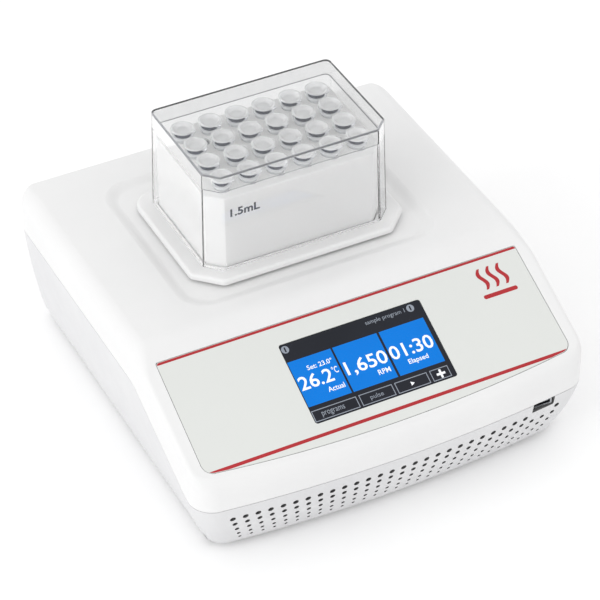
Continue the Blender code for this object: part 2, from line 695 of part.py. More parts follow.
def make_inlet():
    """Mains inlet with three blades, over a slot for the fuse drawer."""
    x0, z0 = INLET_X, INLET_Z
    inlet = body("power_inlet", box((x0 - 13.6, 112.0, z0 - 18.6), (x0 + 13.6, BACK_FACE_Y, z0 + 18.6)),
                 material(*BLACK))
    add(inlet, box((x0 - 17.0, BACK_INNER_Y - 3.0, z0 - 22.0), (x0 + 17.0, BACK_INNER_Y, z0 + 22.0)))
    cut(inlet, box((x0 - 12.0, 120.0, z0 - 1.0), (x0 + 12.0, BACK_FACE_Y + 2.0, z0 + 15.5)))
    for x, z in ((-7.0, 5.0), (0.0, 10.0), (7.0, 5.0)):
        add(inlet, box((x0 + x - 1.0, 119.0, z0 + z - 2.0), (x0 + x + 1.0, 136.0, z0 + z + 2.0)))
    cut(inlet, box((x0 - 11.3, 115.7, z0 - 16.3), (x0 + 11.3, BACK_FACE_Y + 2.0, z0 - 6.7)))
    drawer_z = z0 - 11.5
    origin = (x0, BACK_FACE_Y, drawer_z)
    drawer = body("fuse_drawer",
                  box((x0 - 11.0, 116.0, drawer_z - 4.5), (x0 + 11.0, BACK_FACE_Y + 0.3, drawer_z + 4.5)),
                  material(*BLACK), origin)
    cut(drawer, box((x0 - 10.2, 121.0, drawer_z - 3.2), (x0 + 10.2, 128.0, drawer_z + 6.0)))
    lying = Matrix.Translation((x0, 124.5, drawer_z)) @ Matrix.Rotation(math.pi / 2, 4, "Y")
    body("fuse", placed(rod(2.6, -9.8, 9.8, 12), lying), material(*FUSE_GLASS), origin)


def make_switch():
    x0, z0 = SWITCH_X, INLET_Z
    face = BACK_FACE_Y - 0.4
    barrel = box((x0 - 9.6, 120.0, z0 - 6.4), (x0 + 9.6, face, z0 + 6.4))
    frame = body("switch_frame", barrel, material(*BLACK))
    add(frame, box((x0 - 12.0, BACK_INNER_Y - 2.5, z0 - 8.8), (x0 + 12.0, BACK_INNER_Y, z0 + 8.8)))
    cut(frame, box((x0 - 8.3, 124.0, z0 - 5.4), (x0 + 8.3, face + 2.0, z0 + 5.4)))
    axis = (x0, face - 3.0, z0)
    rocker = prism([(-7.6, 2.4), (7.6, 2.4), (5.5, -3.0), (-5.5, -3.0)], -4.9, 4.9)
    tilted = Matrix.Translation(axis) @ Matrix.Rotation(math.radians(-10.0), 4, "Z")
    body("power_rocker", placed(rocker, tilted), material(*BLACK), axis)


def make_fan():
    """Cooling fan behind the back wall's slots, turning about +Y."""
    front = 122.0
    depth = BACK_INNER_Y - 0.5 - front
    place = (FAN_X, front, FAN_Z)
    square = rounded_rectangle((FAN_HALF, FAN_HALF), 3.0, (0.0, 0.0), 2)
    frame = body("fan_frame", along_y(prism(square, 0.0, depth), *place), material(*BLACK))
    cut(frame, along_y(rod(27.5, -2.0, depth + 2.0, 28), *place))
    add(frame, along_y(rod(11.0, 0.0, 2.0, 16), *place))
    for reach_x, reach_z in ((28.5, 1.5), (1.5, 28.5)):
        low = (FAN_X - reach_x, front, FAN_Z - reach_z)
        add(frame, box(low, (FAN_X + reach_x, front + 1.8, FAN_Z + reach_z)))
    blades = 7
    rings = []
    for z, twist in ((2.6, 0.0), (depth * 0.5, 14.0), (depth - 1.6, 28.0)):
        points = []
        for blade in range(blades):
            for radius, offset in ((11.0, -19.0), (11.0, 0.0), (26.0, 3.0), (26.0, 9.0), (11.0, 10.0)):
                angle = math.radians(blade * 360.0 / blades + offset + twist)
                points.append((radius * math.cos(angle), radius * math.sin(angle), z))
        rings.append(points)
    body("fan_rotor", along_y(loft(rings), *place), material(*BLACK), place)


def make_feet_and_screws():
    top, radius = TRAY_BOTTOM_Z - GAP, FOOT_RADIUS
    for number, (x, y) in enumerate(FOOT_SPOTS, 1):
        profile = [(0.0, 0.0), (radius - 1.0, 0.0), (radius, 1.0), (radius, top), (0.0, top)]
        body(f"foot_{number}", turned(profile, 20, (x, y)), material(*RUBBER))
    for number, (x, y) in enumerate(CASE_SCREW_SPOTS, 1):
        profile = [(0.0, 16.5), (3.6, 16.5), (3.6, 19.7), (1.6, 19.7), (1.6, 54.0), (0.0, 54.0)]
        body(f"case_screw_{number}", turned(profile, 10, (x, y)), material(*STEEL))


def main():
    for old in list(bpy.data.objects):
        bpy.data.objects.remove(old)
    make_top_shell()
    make_bottom_tray()
    make_front_panel()
    make_usb_port()
    make_main_board()
    make_power_supply()
    make_chassis()
    make_drive()
    make_orbit_plate()
    make_heater()
    make_collar()
    make_block()
    make_lid()
    make_inlet()
    make_switch()
    make_fan()
    make_feet_and_screws()


main()
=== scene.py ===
"""Looks of the heating block shaker: fine surfaces, materials, printed marks, light and camera.

Sizes are millimetres, +Z is up and the front faces -Y. The driving ones are read from the
frame's own pieces, and new_object turns a finished shape into metres.
"""

import math

import bmesh
import bpy
from mathutils import Matrix, Vector


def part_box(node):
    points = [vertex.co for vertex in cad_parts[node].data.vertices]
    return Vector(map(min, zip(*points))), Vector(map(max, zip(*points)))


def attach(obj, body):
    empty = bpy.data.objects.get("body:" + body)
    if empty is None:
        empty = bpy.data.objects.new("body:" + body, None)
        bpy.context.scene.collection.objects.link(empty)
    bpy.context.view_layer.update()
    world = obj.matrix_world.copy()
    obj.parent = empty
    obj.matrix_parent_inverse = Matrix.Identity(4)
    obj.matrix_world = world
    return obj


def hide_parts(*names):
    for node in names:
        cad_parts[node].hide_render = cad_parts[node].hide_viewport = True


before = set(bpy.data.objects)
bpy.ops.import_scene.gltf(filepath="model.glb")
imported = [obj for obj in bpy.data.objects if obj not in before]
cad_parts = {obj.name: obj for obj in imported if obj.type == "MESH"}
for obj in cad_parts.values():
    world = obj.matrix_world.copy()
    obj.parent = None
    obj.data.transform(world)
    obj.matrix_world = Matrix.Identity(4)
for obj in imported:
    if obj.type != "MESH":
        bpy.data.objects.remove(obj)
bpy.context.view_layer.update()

MM = 0.001


def span(node):
    """Lowest and highest corner of a CAD node, in millimetres."""
    low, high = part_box(node)
    return Vector(low) / MM, Vector(high) / MM


SHELL_LOW, SHELL_HIGH = span("top_shell")
TRAY_LOW = span("bottom_tray")[0]
BLOCK_LOW, BLOCK_HIGH = span("sample_block")
LID_LOW, LID_HIGH = span("clear_lid")
COLLAR_LOW, COLLAR_HIGH = span("platform_collar")
GLASS_HIGH = span("touch_glass")[1]
PORT_LOW, PORT_HIGH = span("usb_port")
FAN_LOW, FAN_HIGH = span("fan_frame")
INLET_LOW, INLET_HIGH = span("power_inlet")
SWITCH_LOW, SWITCH_HIGH = span("switch_frame")

# Housing. An edge's pair is how far its rounding reaches in and how far it drops.
HALF_WIDTH = SHELL_HIGH.x
FRONT_Y = SHELL_LOW.y
BACK_Y = SHELL_HIGH.y
DECK_Z = SHELL_HIGH.z
BOW_RADIUS = 950.0
FRONT_CORNER_RADIUS = 16.0
BACK_CORNER_RADIUS = 12.0
CREASE_Y = -40.4
CREASE_SOFTNESS = 5.0
SLOPE = math.radians(25.1)
SEAM_BACK_Z = DECK_Z - 28.3
SEAM_FRONT_Z = DECK_Z - 63.3
SEAM_GAP = 0.35
SHELL_WALL = 2.6
TRAY_WALL = 2.5
TRAY_HEEL_Z = TRAY_LOW.z + 3.2
TRAY_INSET = 12.8
FRONT_EDGE = (8.0, 11.0)
SLOPE_EDGE = (3.3, 2.8)
DECK_EDGE = (10.4, 10.0)
BACK_EDGE = (3.0, 7.0)
EDGE_CHANGE = (-64.0, -38.0)
EDGE_STEPS = 8
BOW_STEPS = 26
CORNER_STEPS = 12
BACK_STEPS = 8
TRAY_FLOOR_Z = TRAY_LOW.z + 2.7

# Block, collar and lid. Above their inside ledge the lid's walls are thinner by LID_LEDGE.
BLOCK_Y = (BLOCK_LOW.y + BLOCK_HIGH.y) / 2
BLOCK_HALF = (BLOCK_HIGH.x, (BLOCK_HIGH.y - BLOCK_LOW.y) / 2)
BLOCK_CHAMFER = 9.0
WELL_PITCH = 18.7
WELL_COLUMNS = 6
WELL_ROWS = 4
WELL_RADIUS = 5.5
WELL_STRAIGHT = 22.0
WELL_DEPTH = 39.0
SCREW_SPOTS = ((-2.0 * WELL_PITCH, WELL_PITCH), (2.0 * WELL_PITCH, -WELL_PITCH))
COLLAR_HALF = (COLLAR_HIGH.x, (COLLAR_HIGH.y - COLLAR_LOW.y) / 2)
COLLAR_LIP = 2.4
SKIRT = 1.6
COLLAR_CHAMFER = 16.0
NECK_HALF = (63.4, 45.6)
HOLE_HALF = (NECK_HALF[0] + 2.8, NECK_HALF[1] + 3.0)
LID_HALF = (LID_HIGH.x, (LID_HIGH.y - LID_LOW.y) / 2)
LID_DRAFT = 1.7
LID_WALL = 1.6
LID_CHAMFER = 9.2
LID_ROUNDING = 0.6
LID_LEDGE = 0.7
LID_LEDGE_Z = BLOCK_HIGH.z + 6.6
TUBE_BASE = BLOCK_HIGH.z + 1.8
VOLUME_MARK_AREA = (-47.3, 148.6, -27.2, 154.5)
POCKET_HALF = (90.0, 72.0)
POCKET_Y = 43.4
POCKET_DEPTH = 2.3
POCKET_SLOPE = 9.0
POCKET_CORNER = 21.0
POCKET_FLOOR_Z = DECK_Z - POCKET_DEPTH
ORBIT_RADIUS = 1.5

# Front panel, in its own frame: x to the right, v up the slope from its top edge, z out of the
# surface. A span or a stripe is given by its distances down the slope.
PANEL_TOP_Y = -54.2
PANEL_TOP_HALF = 123.9
PANEL_LOW_HALF = 125.2
PANEL_SIDE_LENGTH = 78.0
PANEL_BOW_LENGTH = 85.0
PANEL_CORNER = 7.0
OVERLAY_THICKNESS = 0.8
GROOVE = 0.35
SCREEN_HALF_WIDTH = GLASS_HIGH.x
SCREEN_SPAN = (14.2, 69.4)
PRINT_LIFT = 0.03
STRIPE_TOP = (0.0, 1.9)
STRIPE_LOW = (76.4, 78.6)

# Screw posts: the tray's are bored for the screws and their heads, the shell's for the threads.
CASE_SCREW_SPOTS = ((-107.0, -88.0), (107.0, -88.0), (-107.0, 117.0), (107.0, 117.0))
TRAY_POST_RADIUS = 5.4
TRAY_POST_TOP_Z = 29.9
SHELL_POST_RADIUS = 4.5
HEAD_BORE_RADIUS = 4.0
SCREW_BORE_RADIUS = 2.2
THREAD_BORE_RADIUS = 1.9

# Vents, port and back wall. An opening's pair is half its width and half its height.
VENT_COLUMNS = 29
VENT_PITCH = 8.0
VENT_ROWS = (34.2, 28.0, 21.5, 15.3, 10.2)
VENT_RADIUS = 1.85
VENT_LOW_SHARE = 0.55
PORT_X = (PORT_LOW.x + PORT_HIGH.x) / 2
PORT_Z = PORT_LOW.z + 2.85
PORT_OPENING = (8.2, 3.6)
VENT_FREE_HALF = PORT_OPENING[0] + 1.3
INLET_X = (INLET_LOW.x + INLET_HIGH.x) / 2
INLET_Z = (INLET_LOW.z + INLET_HIGH.z) / 2
INLET_OPENING = (14.0, 19.0)
SWITCH_X = (SWITCH_LOW.x + SWITCH_HIGH.x) / 2
SWITCH_OPENING = (10.0, 6.8)
FAN_X = (FAN_LOW.x + FAN_HIGH.x) / 2
FAN_Z = (FAN_LOW.z + FAN_HIGH.z) / 2
FAN_SLOTS = 7
FAN_SLOT_PITCH = 7.0
FAN_REACH = 27.0


# -------- outlines


def lerp(start, end, share):
    return start + (end - start) * share


def smooth(share):
    share = min(1.0, max(0.0, share))
    return share * share * (3.0 - 2.0 * share)


def blend(first, second, share):
    return tuple(lerp(a, b, share) for a, b in zip(first, second))


def ramp_down(y):
    """How far the front has sloped down at y, with the crease softened."""
    run = CREASE_Y - y
    if run <= -CREASE_SOFTNESS:
        return 0.0
    if run >= CREASE_SOFTNESS:
        return math.tan(SLOPE) * run
    return math.tan(SLOPE) * (run + CREASE_SOFTNESS) ** 2 / (4.0 * CREASE_SOFTNESS)


def top_height(y):
    return DECK_Z - ramp_down(y)


def seam_height(y):
    """Height of the seam: level at the back, down along the slope, level round the front."""
    drop = ramp_down(y)
    limit = SEAM_BACK_Z - SEAM_FRONT_Z
    softness = 2.0
    if drop < limit - softness:
        return SEAM_BACK_Z - drop
    if drop > limit + softness:
        return SEAM_FRONT_Z
    return SEAM_BACK_Z - limit + (limit + softness - drop) ** 2 / (4.0 * softness)


def arc(centre, radius, start, end, steps):
    points = []
    for step in range(steps + 1):
        angle = lerp(start, end, step / steps)
        points.append((centre[0] + radius * math.cos(angle), centre[1] + radius * math.sin(angle)))
    return points


# Places along the side, closer together where the deck bends into the slope.
SLOPE_YS = (-112.0, -104.0, -96.0, -88.0, -80.0, -72.0, -64.0, -60.0, -57.0, -54.0, -51.0, -48.5, -46.5)
BEND_YS = (-45.0, -43.5, -42.0, -40.4, -39.0, -37.5, -36.0, -34.5)
SIDE_YS = SLOPE_YS + BEND_YS + (-20.0, 20.0, 70.0, 110.0)


def half_outline(inset=0.0, back_inset=0.0, corner=None):
    """Right half of the housing's plan outline, from the front's middle to the back corner."""
    half_width = HALF_WIDTH - inset
    bow = BOW_RADIUS - inset
    if corner is None:
        corner = FRONT_CORNER_RADIUS - inset
    bow_centre = (0.0, FRONT_Y + BOW_RADIUS)
    corner_x = half_width - corner
    corner_y = bow_centre[1] - math.sqrt((bow - corner) ** 2 - corner_x**2)
    tangent = math.atan2(corner_y - bow_centre[1], corner_x)
    points = arc(bow_centre, bow, -math.pi / 2, tangent, BOW_STEPS)[:-1]
    points += arc((corner_x, corner_y), corner, tangent, 0.0, CORNER_STEPS)
    points += [(half_width, y) for y in SIDE_YS]
    radius = max(BACK_CORNER_RADIUS - inset, 1.0)
    back_centre = (half_width - radius, BACK_Y - back_inset - radius)
    points += arc(back_centre, radius, 0.0, math.pi / 2, BACK_STEPS)
    return points


def edge_sizes():
    """Inset and drop of the top edge's rounding at each point of the half outline."""
    start, end = EDGE_CHANGE
    sizes = [FRONT_EDGE] * BOW_STEPS
    for step in range(CORNER_STEPS + 1):
        sizes.append(blend(FRONT_EDGE, SLOPE_EDGE, smooth(step / CORNER_STEPS)))
    for y in SIDE_YS:
        sizes.append(blend(SLOPE_EDGE, DECK_EDGE, smooth((y - start) / (end - start))))
    for step in range(BACK_STEPS + 1):
        sizes.append(blend(DECK_EDGE, BACK_EDGE, smooth(step / BACK_STEPS)))
    return sizes


def both_halves(half):
    return half + [(-x, y) for x, y in reversed(half[1:])]


def edge_outline(share, more=0.0):
    """Plan outline moved in by a share of the top edge's rounding, and by a little more."""
    points = []
    for (x0, y0), (x1, y1), (inset, _) in zip(half_outline(), half_outline(4.0, 4.0), edge_sizes()):
        reach = (inset * share + more) / math.hypot(x1 - x0, y1 - y0)
        points.append((lerp(x0, x1, reach), lerp(y0, y1, reach)))
    return both_halves(points)


def plate_outline(half, chamfer, back_radius, soften=1.2, steps=6):
    """Rectangle round the block's axis with chamfered front corners and rounded back corners."""
    hx, hy = half
    corners = [((hx - chamfer, -hy), soften), ((hx, -hy + chamfer), soften), ((hx, hy), back_radius),
               ((-hx, hy), back_radius), ((-hx, -hy + chamfer), soften), ((-hx + chamfer, -hy), soften)]
    points = []
    count = len(corners)
    for i, (corner, radius) in enumerate(corners):
        before = Vector(corners[i - 1][0]) - Vector(corner)
        after = Vector(corners[(i + 1) % count][0]) - Vector(corner)
        points += fillet(Vector(corner), before.normalized(), after.normalized(), radius, steps)
    return [(x, y + BLOCK_Y) for x, y in points]


def fillet(corner, before, after, radius, steps):
    """Points of a rounded corner between two straight sides given by their directions."""
    half_angle = before.angle(after) / 2
    reach = radius / math.tan(half_angle)
    centre = corner + (before + after).normalized() * (radius / math.sin(half_angle))
    start = corner + before * reach - centre
    end = corner + after * reach - centre
    sweep = start.angle(end)
    points = []
    for step in range(steps + 1):
        share = step / steps
        point = start * math.sin(sweep * (1 - share)) + end * math.sin(sweep * share)
        points.append(tuple(centre + point / math.sin(sweep)))
    return points


def rounded_rectangle(half, radius, centre, steps=8):
    hx, hy = half
    points = []
    for quarter, (sx, sy) in enumerate(((1, 1), (-1, 1), (-1, -1), (1, -1))):
        middle = (centre[0] + sx * (hx - radius), centre[1] + sy * (hy - radius))
        points += arc(middle, radius, quarter * math.pi / 2, (quarter + 1) * math.pi / 2, steps)
    return points


def panel_outline(margin=0.0):
    """Overlay's outline in the panel's frame: straight top, bowed lower edge, rounded corners."""
    top, low = PANEL_TOP_HALF + margin, PANEL_LOW_HALF + margin
    side, bow = PANEL_SIDE_LENGTH + margin, PANEL_BOW_LENGTH + margin
    corner = PANEL_CORNER + margin
    right = arc((top - 1.5, margin - 1.5), 1.5, math.pi / 2, 0.0, 4)
    right += arc((low - corner, -side + corner), corner, 0.0, -math.pi / 2, 10)
    for step in range(1, 12):
        share = 1.0 - step / 12
        right.append(((low - corner) * share, -lerp(bow, side, share**2)))
    left = [(-x, v) for x, v in reversed(right)]
    return right + [(0.0, -bow)] + left


# -------- mesh tools


def ring(bm, points):
    """Adds a ring of points to the mesh under construction."""
    return [bm.verts.new(point) for point in points]


def level(points, z):
    """Flat outline laid at a height."""
    return [(x, y, z) for x, y in points]


def bridge(bm, lower, upper):
    count = len(lower)
    for i in range(count):
        j = (i + 1) % count
        bm.faces.new((lower[i], lower[j], upper[j], upper[i]))


def ladder(bm, verts):
    """Closes a left-right symmetric ring that starts at its front's middle with faces across it."""
    count = len(verts)
    for i in range(count // 2):
        face = [verts[i], verts[i + 1], verts[count - i - 1], verts[-i]]
        bm.faces.new(list(dict.fromkeys(face)))


def loft(rings, closed=False):
    """Skin over rings of the same count, with flat ends, or joined round when it is closed."""
    bm = bmesh.new()
    loops = [ring(bm, points) for points in rings]
    for lower, upper in zip(loops, loops[1:]):
        bridge(bm, lower, upper)
    if closed:
        bridge(bm, loops[-1], loops[0])
    else:
        bm.faces.new(loops[0])
        bm.faces.new(loops[-1])
    return bm


def prism(points, z0, z1):
    return loft([level(points, z0), level(points, z1)])


def rect(x0, y0, x1, y1):
    return [(x0, y0), (x1, y0), (x1, y1), (x0, y1)]


def box(low, high):
    return prism(rect(low[0], low[1], high[0], high[1]), low[2], high[2])


def turned(profile, sides, centre=(0.0, 0.0)):
    """Turned solid round a vertical axis. A profile that starts at radius 0 is closed by its poles."""
    bm = bmesh.new()
    loops = []
    for radius, z in profile:
        if radius == 0.0:
            loops.append([bm.verts.new((centre[0], centre[1], z))])
            continue
        circle = arc(centre, radius, 0.0, 2.0 * math.pi, sides)[:-1]
        loops.append(ring(bm, level(circle, z)))
    pairs = list(zip(loops, loops[1:]))
    if profile[0][0] != 0.0:
        pairs.append((loops[-1], loops[0]))
    for first, second in pairs:
        if len(first) == len(second):
            bridge(bm, first, second)
            continue
        pole, circle = (first, second) if len(first) == 1 else (second, first)
        for i in range(sides):
            bm.faces.new((pole[0], circle[i], circle[(i + 1) % sides]))
    return bm


def rod(radius, z0, z1, sides, centre=(0.0, 0.0)):
    return turned([(0.0, z0), (radius, z0), (radius, z1), (0.0, z1)], sides, centre)


def placed(bm, matrix):
    bmesh.ops.transform(bm, matrix=matrix, verts=bm.verts)
    return bm


def along_y(bm, x, y, z):
    """Turns an upright shape so that it points backwards along +Y."""
    return placed(bm, Matrix.Translation((x, y, z)) @ Matrix.Rotation(-math.pi / 2, 4, "X"))


PANEL = Matrix.Translation((0.0, PANEL_TOP_Y, top_height(PANEL_TOP_Y))) @ Matrix.Rotation(SLOPE, 4, "X")


def on_panel(bm):
    return placed(bm, PANEL)


def together(shapes):
    """Several shapes as one mesh."""
    whole = bmesh.new()
    for shape in shapes:
        mesh = bpy.data.meshes.new("shape")
        bmesh.ops.recalc_face_normals(shape, faces=shape.faces)
        shape.to_mesh(mesh)
        shape.free()
        whole.from_mesh(mesh)
        bpy.data.meshes.remove(mesh)
    return whole


def new_object(name, bm, looks):
    bmesh.ops.recalc_face_normals(bm, faces=bm.faces)
    bmesh.ops.scale(bm, vec=(MM, MM, MM), verts=bm.verts)
    mesh = bpy.data.meshes.new(name)
    bm.to_mesh(mesh)
    bm.free()
    made = bpy.data.objects.new(name, mesh)
    bpy.context.scene.collection.objects.link(made)
    mesh.materials.append(looks)
    return made


def boolean(target, bm, operation, looks=None):
    """Joins or cuts; the cut's own walls take a finish where one is given."""
    tool = new_object("tool", bm, looks or target.data.materials[0])
    modifier = target.modifiers.new("boolean", "BOOLEAN")
    modifier.operation = operation
    modifier.material_mode = "TRANSFER"
    modifier.object = tool
    bpy.context.view_layer.update()
    evaluated = target.evaluated_get(bpy.context.evaluated_depsgraph_get())
    old = target.data
    result = bpy.data.meshes.new_from_object(evaluated)
    target.modifiers.clear()
    target.data = result
    bpy.data.meshes.remove(old)
    bpy.data.objects.remove(tool)


def cut(target, *shapes, looks=None):
    for shape in shapes:
        boolean(target, shape, "DIFFERENCE", looks)


def bevel_edges(made, width, sharp):
    """Fine two-step bevel on every edge that turns by more than the sharp angle, in degrees."""
    edge = made.modifiers.new("edge", "BEVEL")
    edge.width = width * MM
    edge.segments = 2
    edge.limit_method = "ANGLE"
    edge.angle_limit = math.radians(sharp)


def finish_surface(made, sharp, bevel=0.0):
    """Smooth shading with crisp edges, and a fine bevel where one is asked for."""
    mesh = made.data
    mesh.shade_smooth()
    mesh.set_sharp_from_angle(angle=math.radians(sharp))
    if bevel:
        bevel_edges(made, bevel, sharp)
    normals = made.modifiers.new("normals", "WEIGHTED_NORMAL")
    normals.keep_sharp = True
    normals.weight = 80


def piece(name, bm, looks, body, replaced=(), bevel=0.0):
    """One visible piece: its surface, the body it rides on, and the CAD pieces it stands for."""
    adopt(new_object(name, bm, looks), body, replaced, bevel=bevel)


def adopt(made, body, replaced=(), sharp=28.0, bevel=0.0):
    finish_surface(made, sharp, bevel)
    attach(made, body)
    if replaced:
        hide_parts(*replaced)


# -------- materials


def node(tree, kind, **inputs):
    made = tree.nodes.new(kind)
    for name, value in inputs.items():
        made.inputs[name.replace("_", " ")].default_value = value
    return made


def noise(tree, coords, scale, detail=3.0, stretch=None):
    source = coords.outputs["Object"]
    if stretch:
        mapping = tree.nodes.new("ShaderNodeMapping")
        mapping.inputs["Scale"].default_value = stretch
        tree.links.new(source, mapping.inputs["Vector"])
        source = mapping.outputs["Vector"]
    made = node(tree, "ShaderNodeTexNoise", Scale=scale, Detail=detail)
    tree.links.new(source, made.inputs["Vector"])
    return made.outputs["Fac"]


def ranged(tree, source, low, high, start=0.3, end=0.7):
    made = tree.nodes.new("ShaderNodeMapRange")
    for name, value in (("From Min", start), ("From Max", end), ("To Min", low), ("To Max", high)):
        made.inputs[name].default_value = value
    tree.links.new(source, made.inputs["Value"])
    return made.outputs["Result"]


def mixed(tree, fac, first, second):
    """Mix of two colours. The first is a colour or another node's output."""
    made = tree.nodes.new("ShaderNodeMix")
    made.data_type = "RGBA"
    tree.links.new(fac, made.inputs["Factor"])
    if isinstance(first, bpy.types.NodeSocket):
        tree.links.new(first, made.inputs["A"])
    else:
        made.inputs["A"].default_value = (*first, 1.0)
    made.inputs["B"].default_value = (*second, 1.0)
    return made.outputs["Result"]


def surface(name, colour, other, roughness, grain=(900.0, 0.02), patches=14.0, metallic=0.0, gloss=0.5,
            stretch=None, edge_colour=None):
    """Procedural finish: slow colour patches, roughness drift, a fine grain, and paler convex edges."""
    made = bpy.data.materials.new(name)
    made.use_nodes = True
    tree = made.node_tree
    shader = tree.nodes["Principled BSDF"]
    shader.inputs["Metallic"].default_value = metallic
    shader.inputs["Specular IOR Level"].default_value = gloss
    coords = tree.nodes.new("ShaderNodeTexCoord")
    slow = noise(tree, coords, patches, 4.0)
    colours = mixed(tree, ranged(tree, slow, 0.0, 1.0), colour, other)
    if edge_colour:
        colours = paler_edges(tree, colours, edge_colour, coords)
    tree.links.new(colours, shader.inputs["Base Color"])
    drift = noise(tree, coords, patches * 5.0, 5.0, stretch)
    tree.links.new(ranged(tree, drift, roughness[0], roughness[1]), shader.inputs["Roughness"])
    fine = noise(tree, coords, grain[0], 2.0, stretch)
    bump = node(tree, "ShaderNodeBump", Strength=grain[1], Distance=0.0003)
    tree.links.new(fine, bump.inputs["Height"])
    tree.links.new(bump.outputs["Normal"], shader.inputs["Normal"])
    return made


def paler_edges(tree, colours, edge_colour, coords):
    """Lightens convex edges, broken up by noise."""
    geometry = tree.nodes.new("ShaderNodeNewGeometry")
    edge = ranged(tree, geometry.outputs["Pointiness"], 0.0, 1.0, 0.52, 0.62)
    broken = ranged(tree, noise(tree, coords, 220.0), 0.0, 0.8)
    product = tree.nodes.new("ShaderNodeMath")
    product.operation = "MULTIPLY"
    tree.links.new(edge, product.inputs[0])
    tree.links.new(broken, product.inputs[1])
    return mixed(tree, product.outputs["Value"], colours, edge_colour)


def clear_plastic(name, tint, other, edge_tint, roughness=0.02, ior=1.45, clearness=1.0):
    """Clear moulded plastic: lamps pass through it, and it darkens where it is seen edge on."""
    made = bpy.data.materials.new(name)
    made.use_nodes = True
    tree = made.node_tree
    shader = tree.nodes["Principled BSDF"]
    shader.inputs["Transmission Weight"].default_value = clearness
    shader.inputs["IOR"].default_value = ior
    coords = tree.nodes.new("ShaderNodeTexCoord")
    colours = mixed(tree, ranged(tree, noise(tree, coords, 25.0), 0.0, 1.0), tint, other)
    weight = tree.nodes.new("ShaderNodeLayerWeight")
    weight.inputs["Blend"].default_value = 0.5
    edge = ranged(tree, weight.outputs["Facing"], 0.0, 1.0, 0.72, 0.97)
    tree.links.new(mixed(tree, edge, colours, edge_tint), shader.inputs["Base Color"])
    drift = ranged(tree, noise(tree, coords, 60.0), roughness * 0.5, roughness * 1.5)
    tree.links.new(drift, shader.inputs["Roughness"])
    path = tree.nodes.new("ShaderNodeLightPath")
    through = node(tree, "ShaderNodeBsdfTransparent", Color=(0.97, 0.97, 0.97, 1.0))
    mix = tree.nodes.new("ShaderNodeMixShader")
    tree.links.new(path.outputs["Is Shadow Ray"], mix.inputs["Fac"])
    tree.links.new(shader.outputs["BSDF"], mix.inputs[1])
    tree.links.new(through.outputs["BSDF"], mix.inputs[2])
    tree.links.new(mix.outputs["Shader"], tree.nodes["Material Output"].inputs["Surface"])
    return made


def glowing(name, colour, other, strength):
    """Lit part of the display: its own colour, slightly uneven, under the glass's gloss."""
    made = surface(name, colour, other, (0.12, 0.2), grain=(2500.0, 0.01), patches=40.0, gloss=0.15)
    tree = made.node_tree
    shader = tree.nodes["Principled BSDF"]
    tree.links.new(shader.inputs["Base Color"].links[0].from_socket, shader.inputs["Emission Color"])
    shader.inputs["Emission Strength"].default_value = strength
    return made


WHITE = surface("white moulded plastic", (0.80, 0.80, 0.80), (0.825, 0.825, 0.822), (0.36, 0.5),
                grain=(1600.0, 0.06), edge_colour=(0.87, 0.87, 0.87))
PALE = surface("pale grey moulded plastic", (0.70, 0.70, 0.71), (0.735, 0.735, 0.74), (0.4, 0.55),
               grain=(1600.0, 0.08), edge_colour=(0.8, 0.8, 0.8))
OVERLAY = surface("grey-green membrane", (0.705, 0.72, 0.695), (0.725, 0.74, 0.715), (0.38, 0.5),
                  grain=(2400.0, 0.05), patches=9.0)
RED = surface("red print", (0.40, 0.006, 0.012), (0.45, 0.01, 0.018), (0.45, 0.6), grain=(2400.0, 0.05))
# Near-black floor of the groove round the membrane: painted shade for the occlusion in the narrow gap.
GROOVE_SHADE = surface("painted shade in groove", (0.06, 0.06, 0.06), (0.09, 0.09, 0.09), (0.5, 0.7))
# Dark grey on the walls of the vents and the port's opening is painted shade for the depth of the holes.
BORE_SHADE = surface("painted shade on bore walls", (0.14, 0.14, 0.142), (0.19, 0.19, 0.19), (0.6, 0.8))
SCREEN = surface("screen glass", (0.010, 0.012, 0.018), (0.016, 0.018, 0.026), (0.06, 0.14),
                 grain=(300.0, 0.004), gloss=0.2)
BLUE = glowing("blue tile", (0.0, 0.128, 0.475), (0.0, 0.136, 0.50), 0.5)
LETTERS = glowing("white figures", (0.84, 0.87, 0.9), (0.88, 0.9, 0.92), 0.15)
DIM = glowing("dim outlines", (0.26, 0.29, 0.34), (0.3, 0.33, 0.38), 0.1)
ALUMINIUM = surface("bead-blasted aluminium", (0.87, 0.87, 0.865), (0.90, 0.90, 0.895), (0.6, 0.72),
                    grain=(2200.0, 0.12), metallic=0.05, edge_colour=(0.93, 0.93, 0.93))
RAW_ALUMINIUM = surface("milled aluminium", (0.66, 0.67, 0.69), (0.74, 0.75, 0.76), (0.28, 0.45),
                        grain=(700.0, 0.15), metallic=1.0, stretch=(1.0, 14.0, 1.0))
STEEL = surface("turned steel", (0.45, 0.46, 0.48), (0.55, 0.56, 0.58), (0.22, 0.4), grain=(900.0, 0.12),
                metallic=1.0, stretch=(1.0, 1.0, 9.0))
BRASS = surface("brass", (0.62, 0.45, 0.19), (0.72, 0.55, 0.26), (0.25, 0.42), grain=(900.0, 0.1),
                metallic=1.0)
BLACK = surface("black moulded plastic", (0.018, 0.018, 0.02), (0.03, 0.03, 0.032), (0.36, 0.55),
                grain=(1500.0, 0.15), edge_colour=(0.09, 0.09, 0.09))
RUBBER = surface("rubber", (0.025, 0.025, 0.026), (0.045, 0.045, 0.045), (0.7, 0.9), grain=(700.0, 0.3))
BOARD = surface("solder mask", (0.015, 0.10, 0.04), (0.02, 0.14, 0.055), (0.3, 0.45), grain=(500.0, 0.2))
FELT = surface("felted fibre", (0.62, 0.58, 0.48), (0.72, 0.68, 0.58), (0.85, 1.0), grain=(450.0, 0.8))
INK = surface("black ink", (0.006, 0.006, 0.007), (0.012, 0.012, 0.013), (0.75, 0.9))
CLEAR_LID = clear_plastic("clear lid plastic", (0.975, 0.975, 0.975), (0.96, 0.962, 0.965),
                          (0.8, 0.81, 0.82), ior=1.33, clearness=0.95)
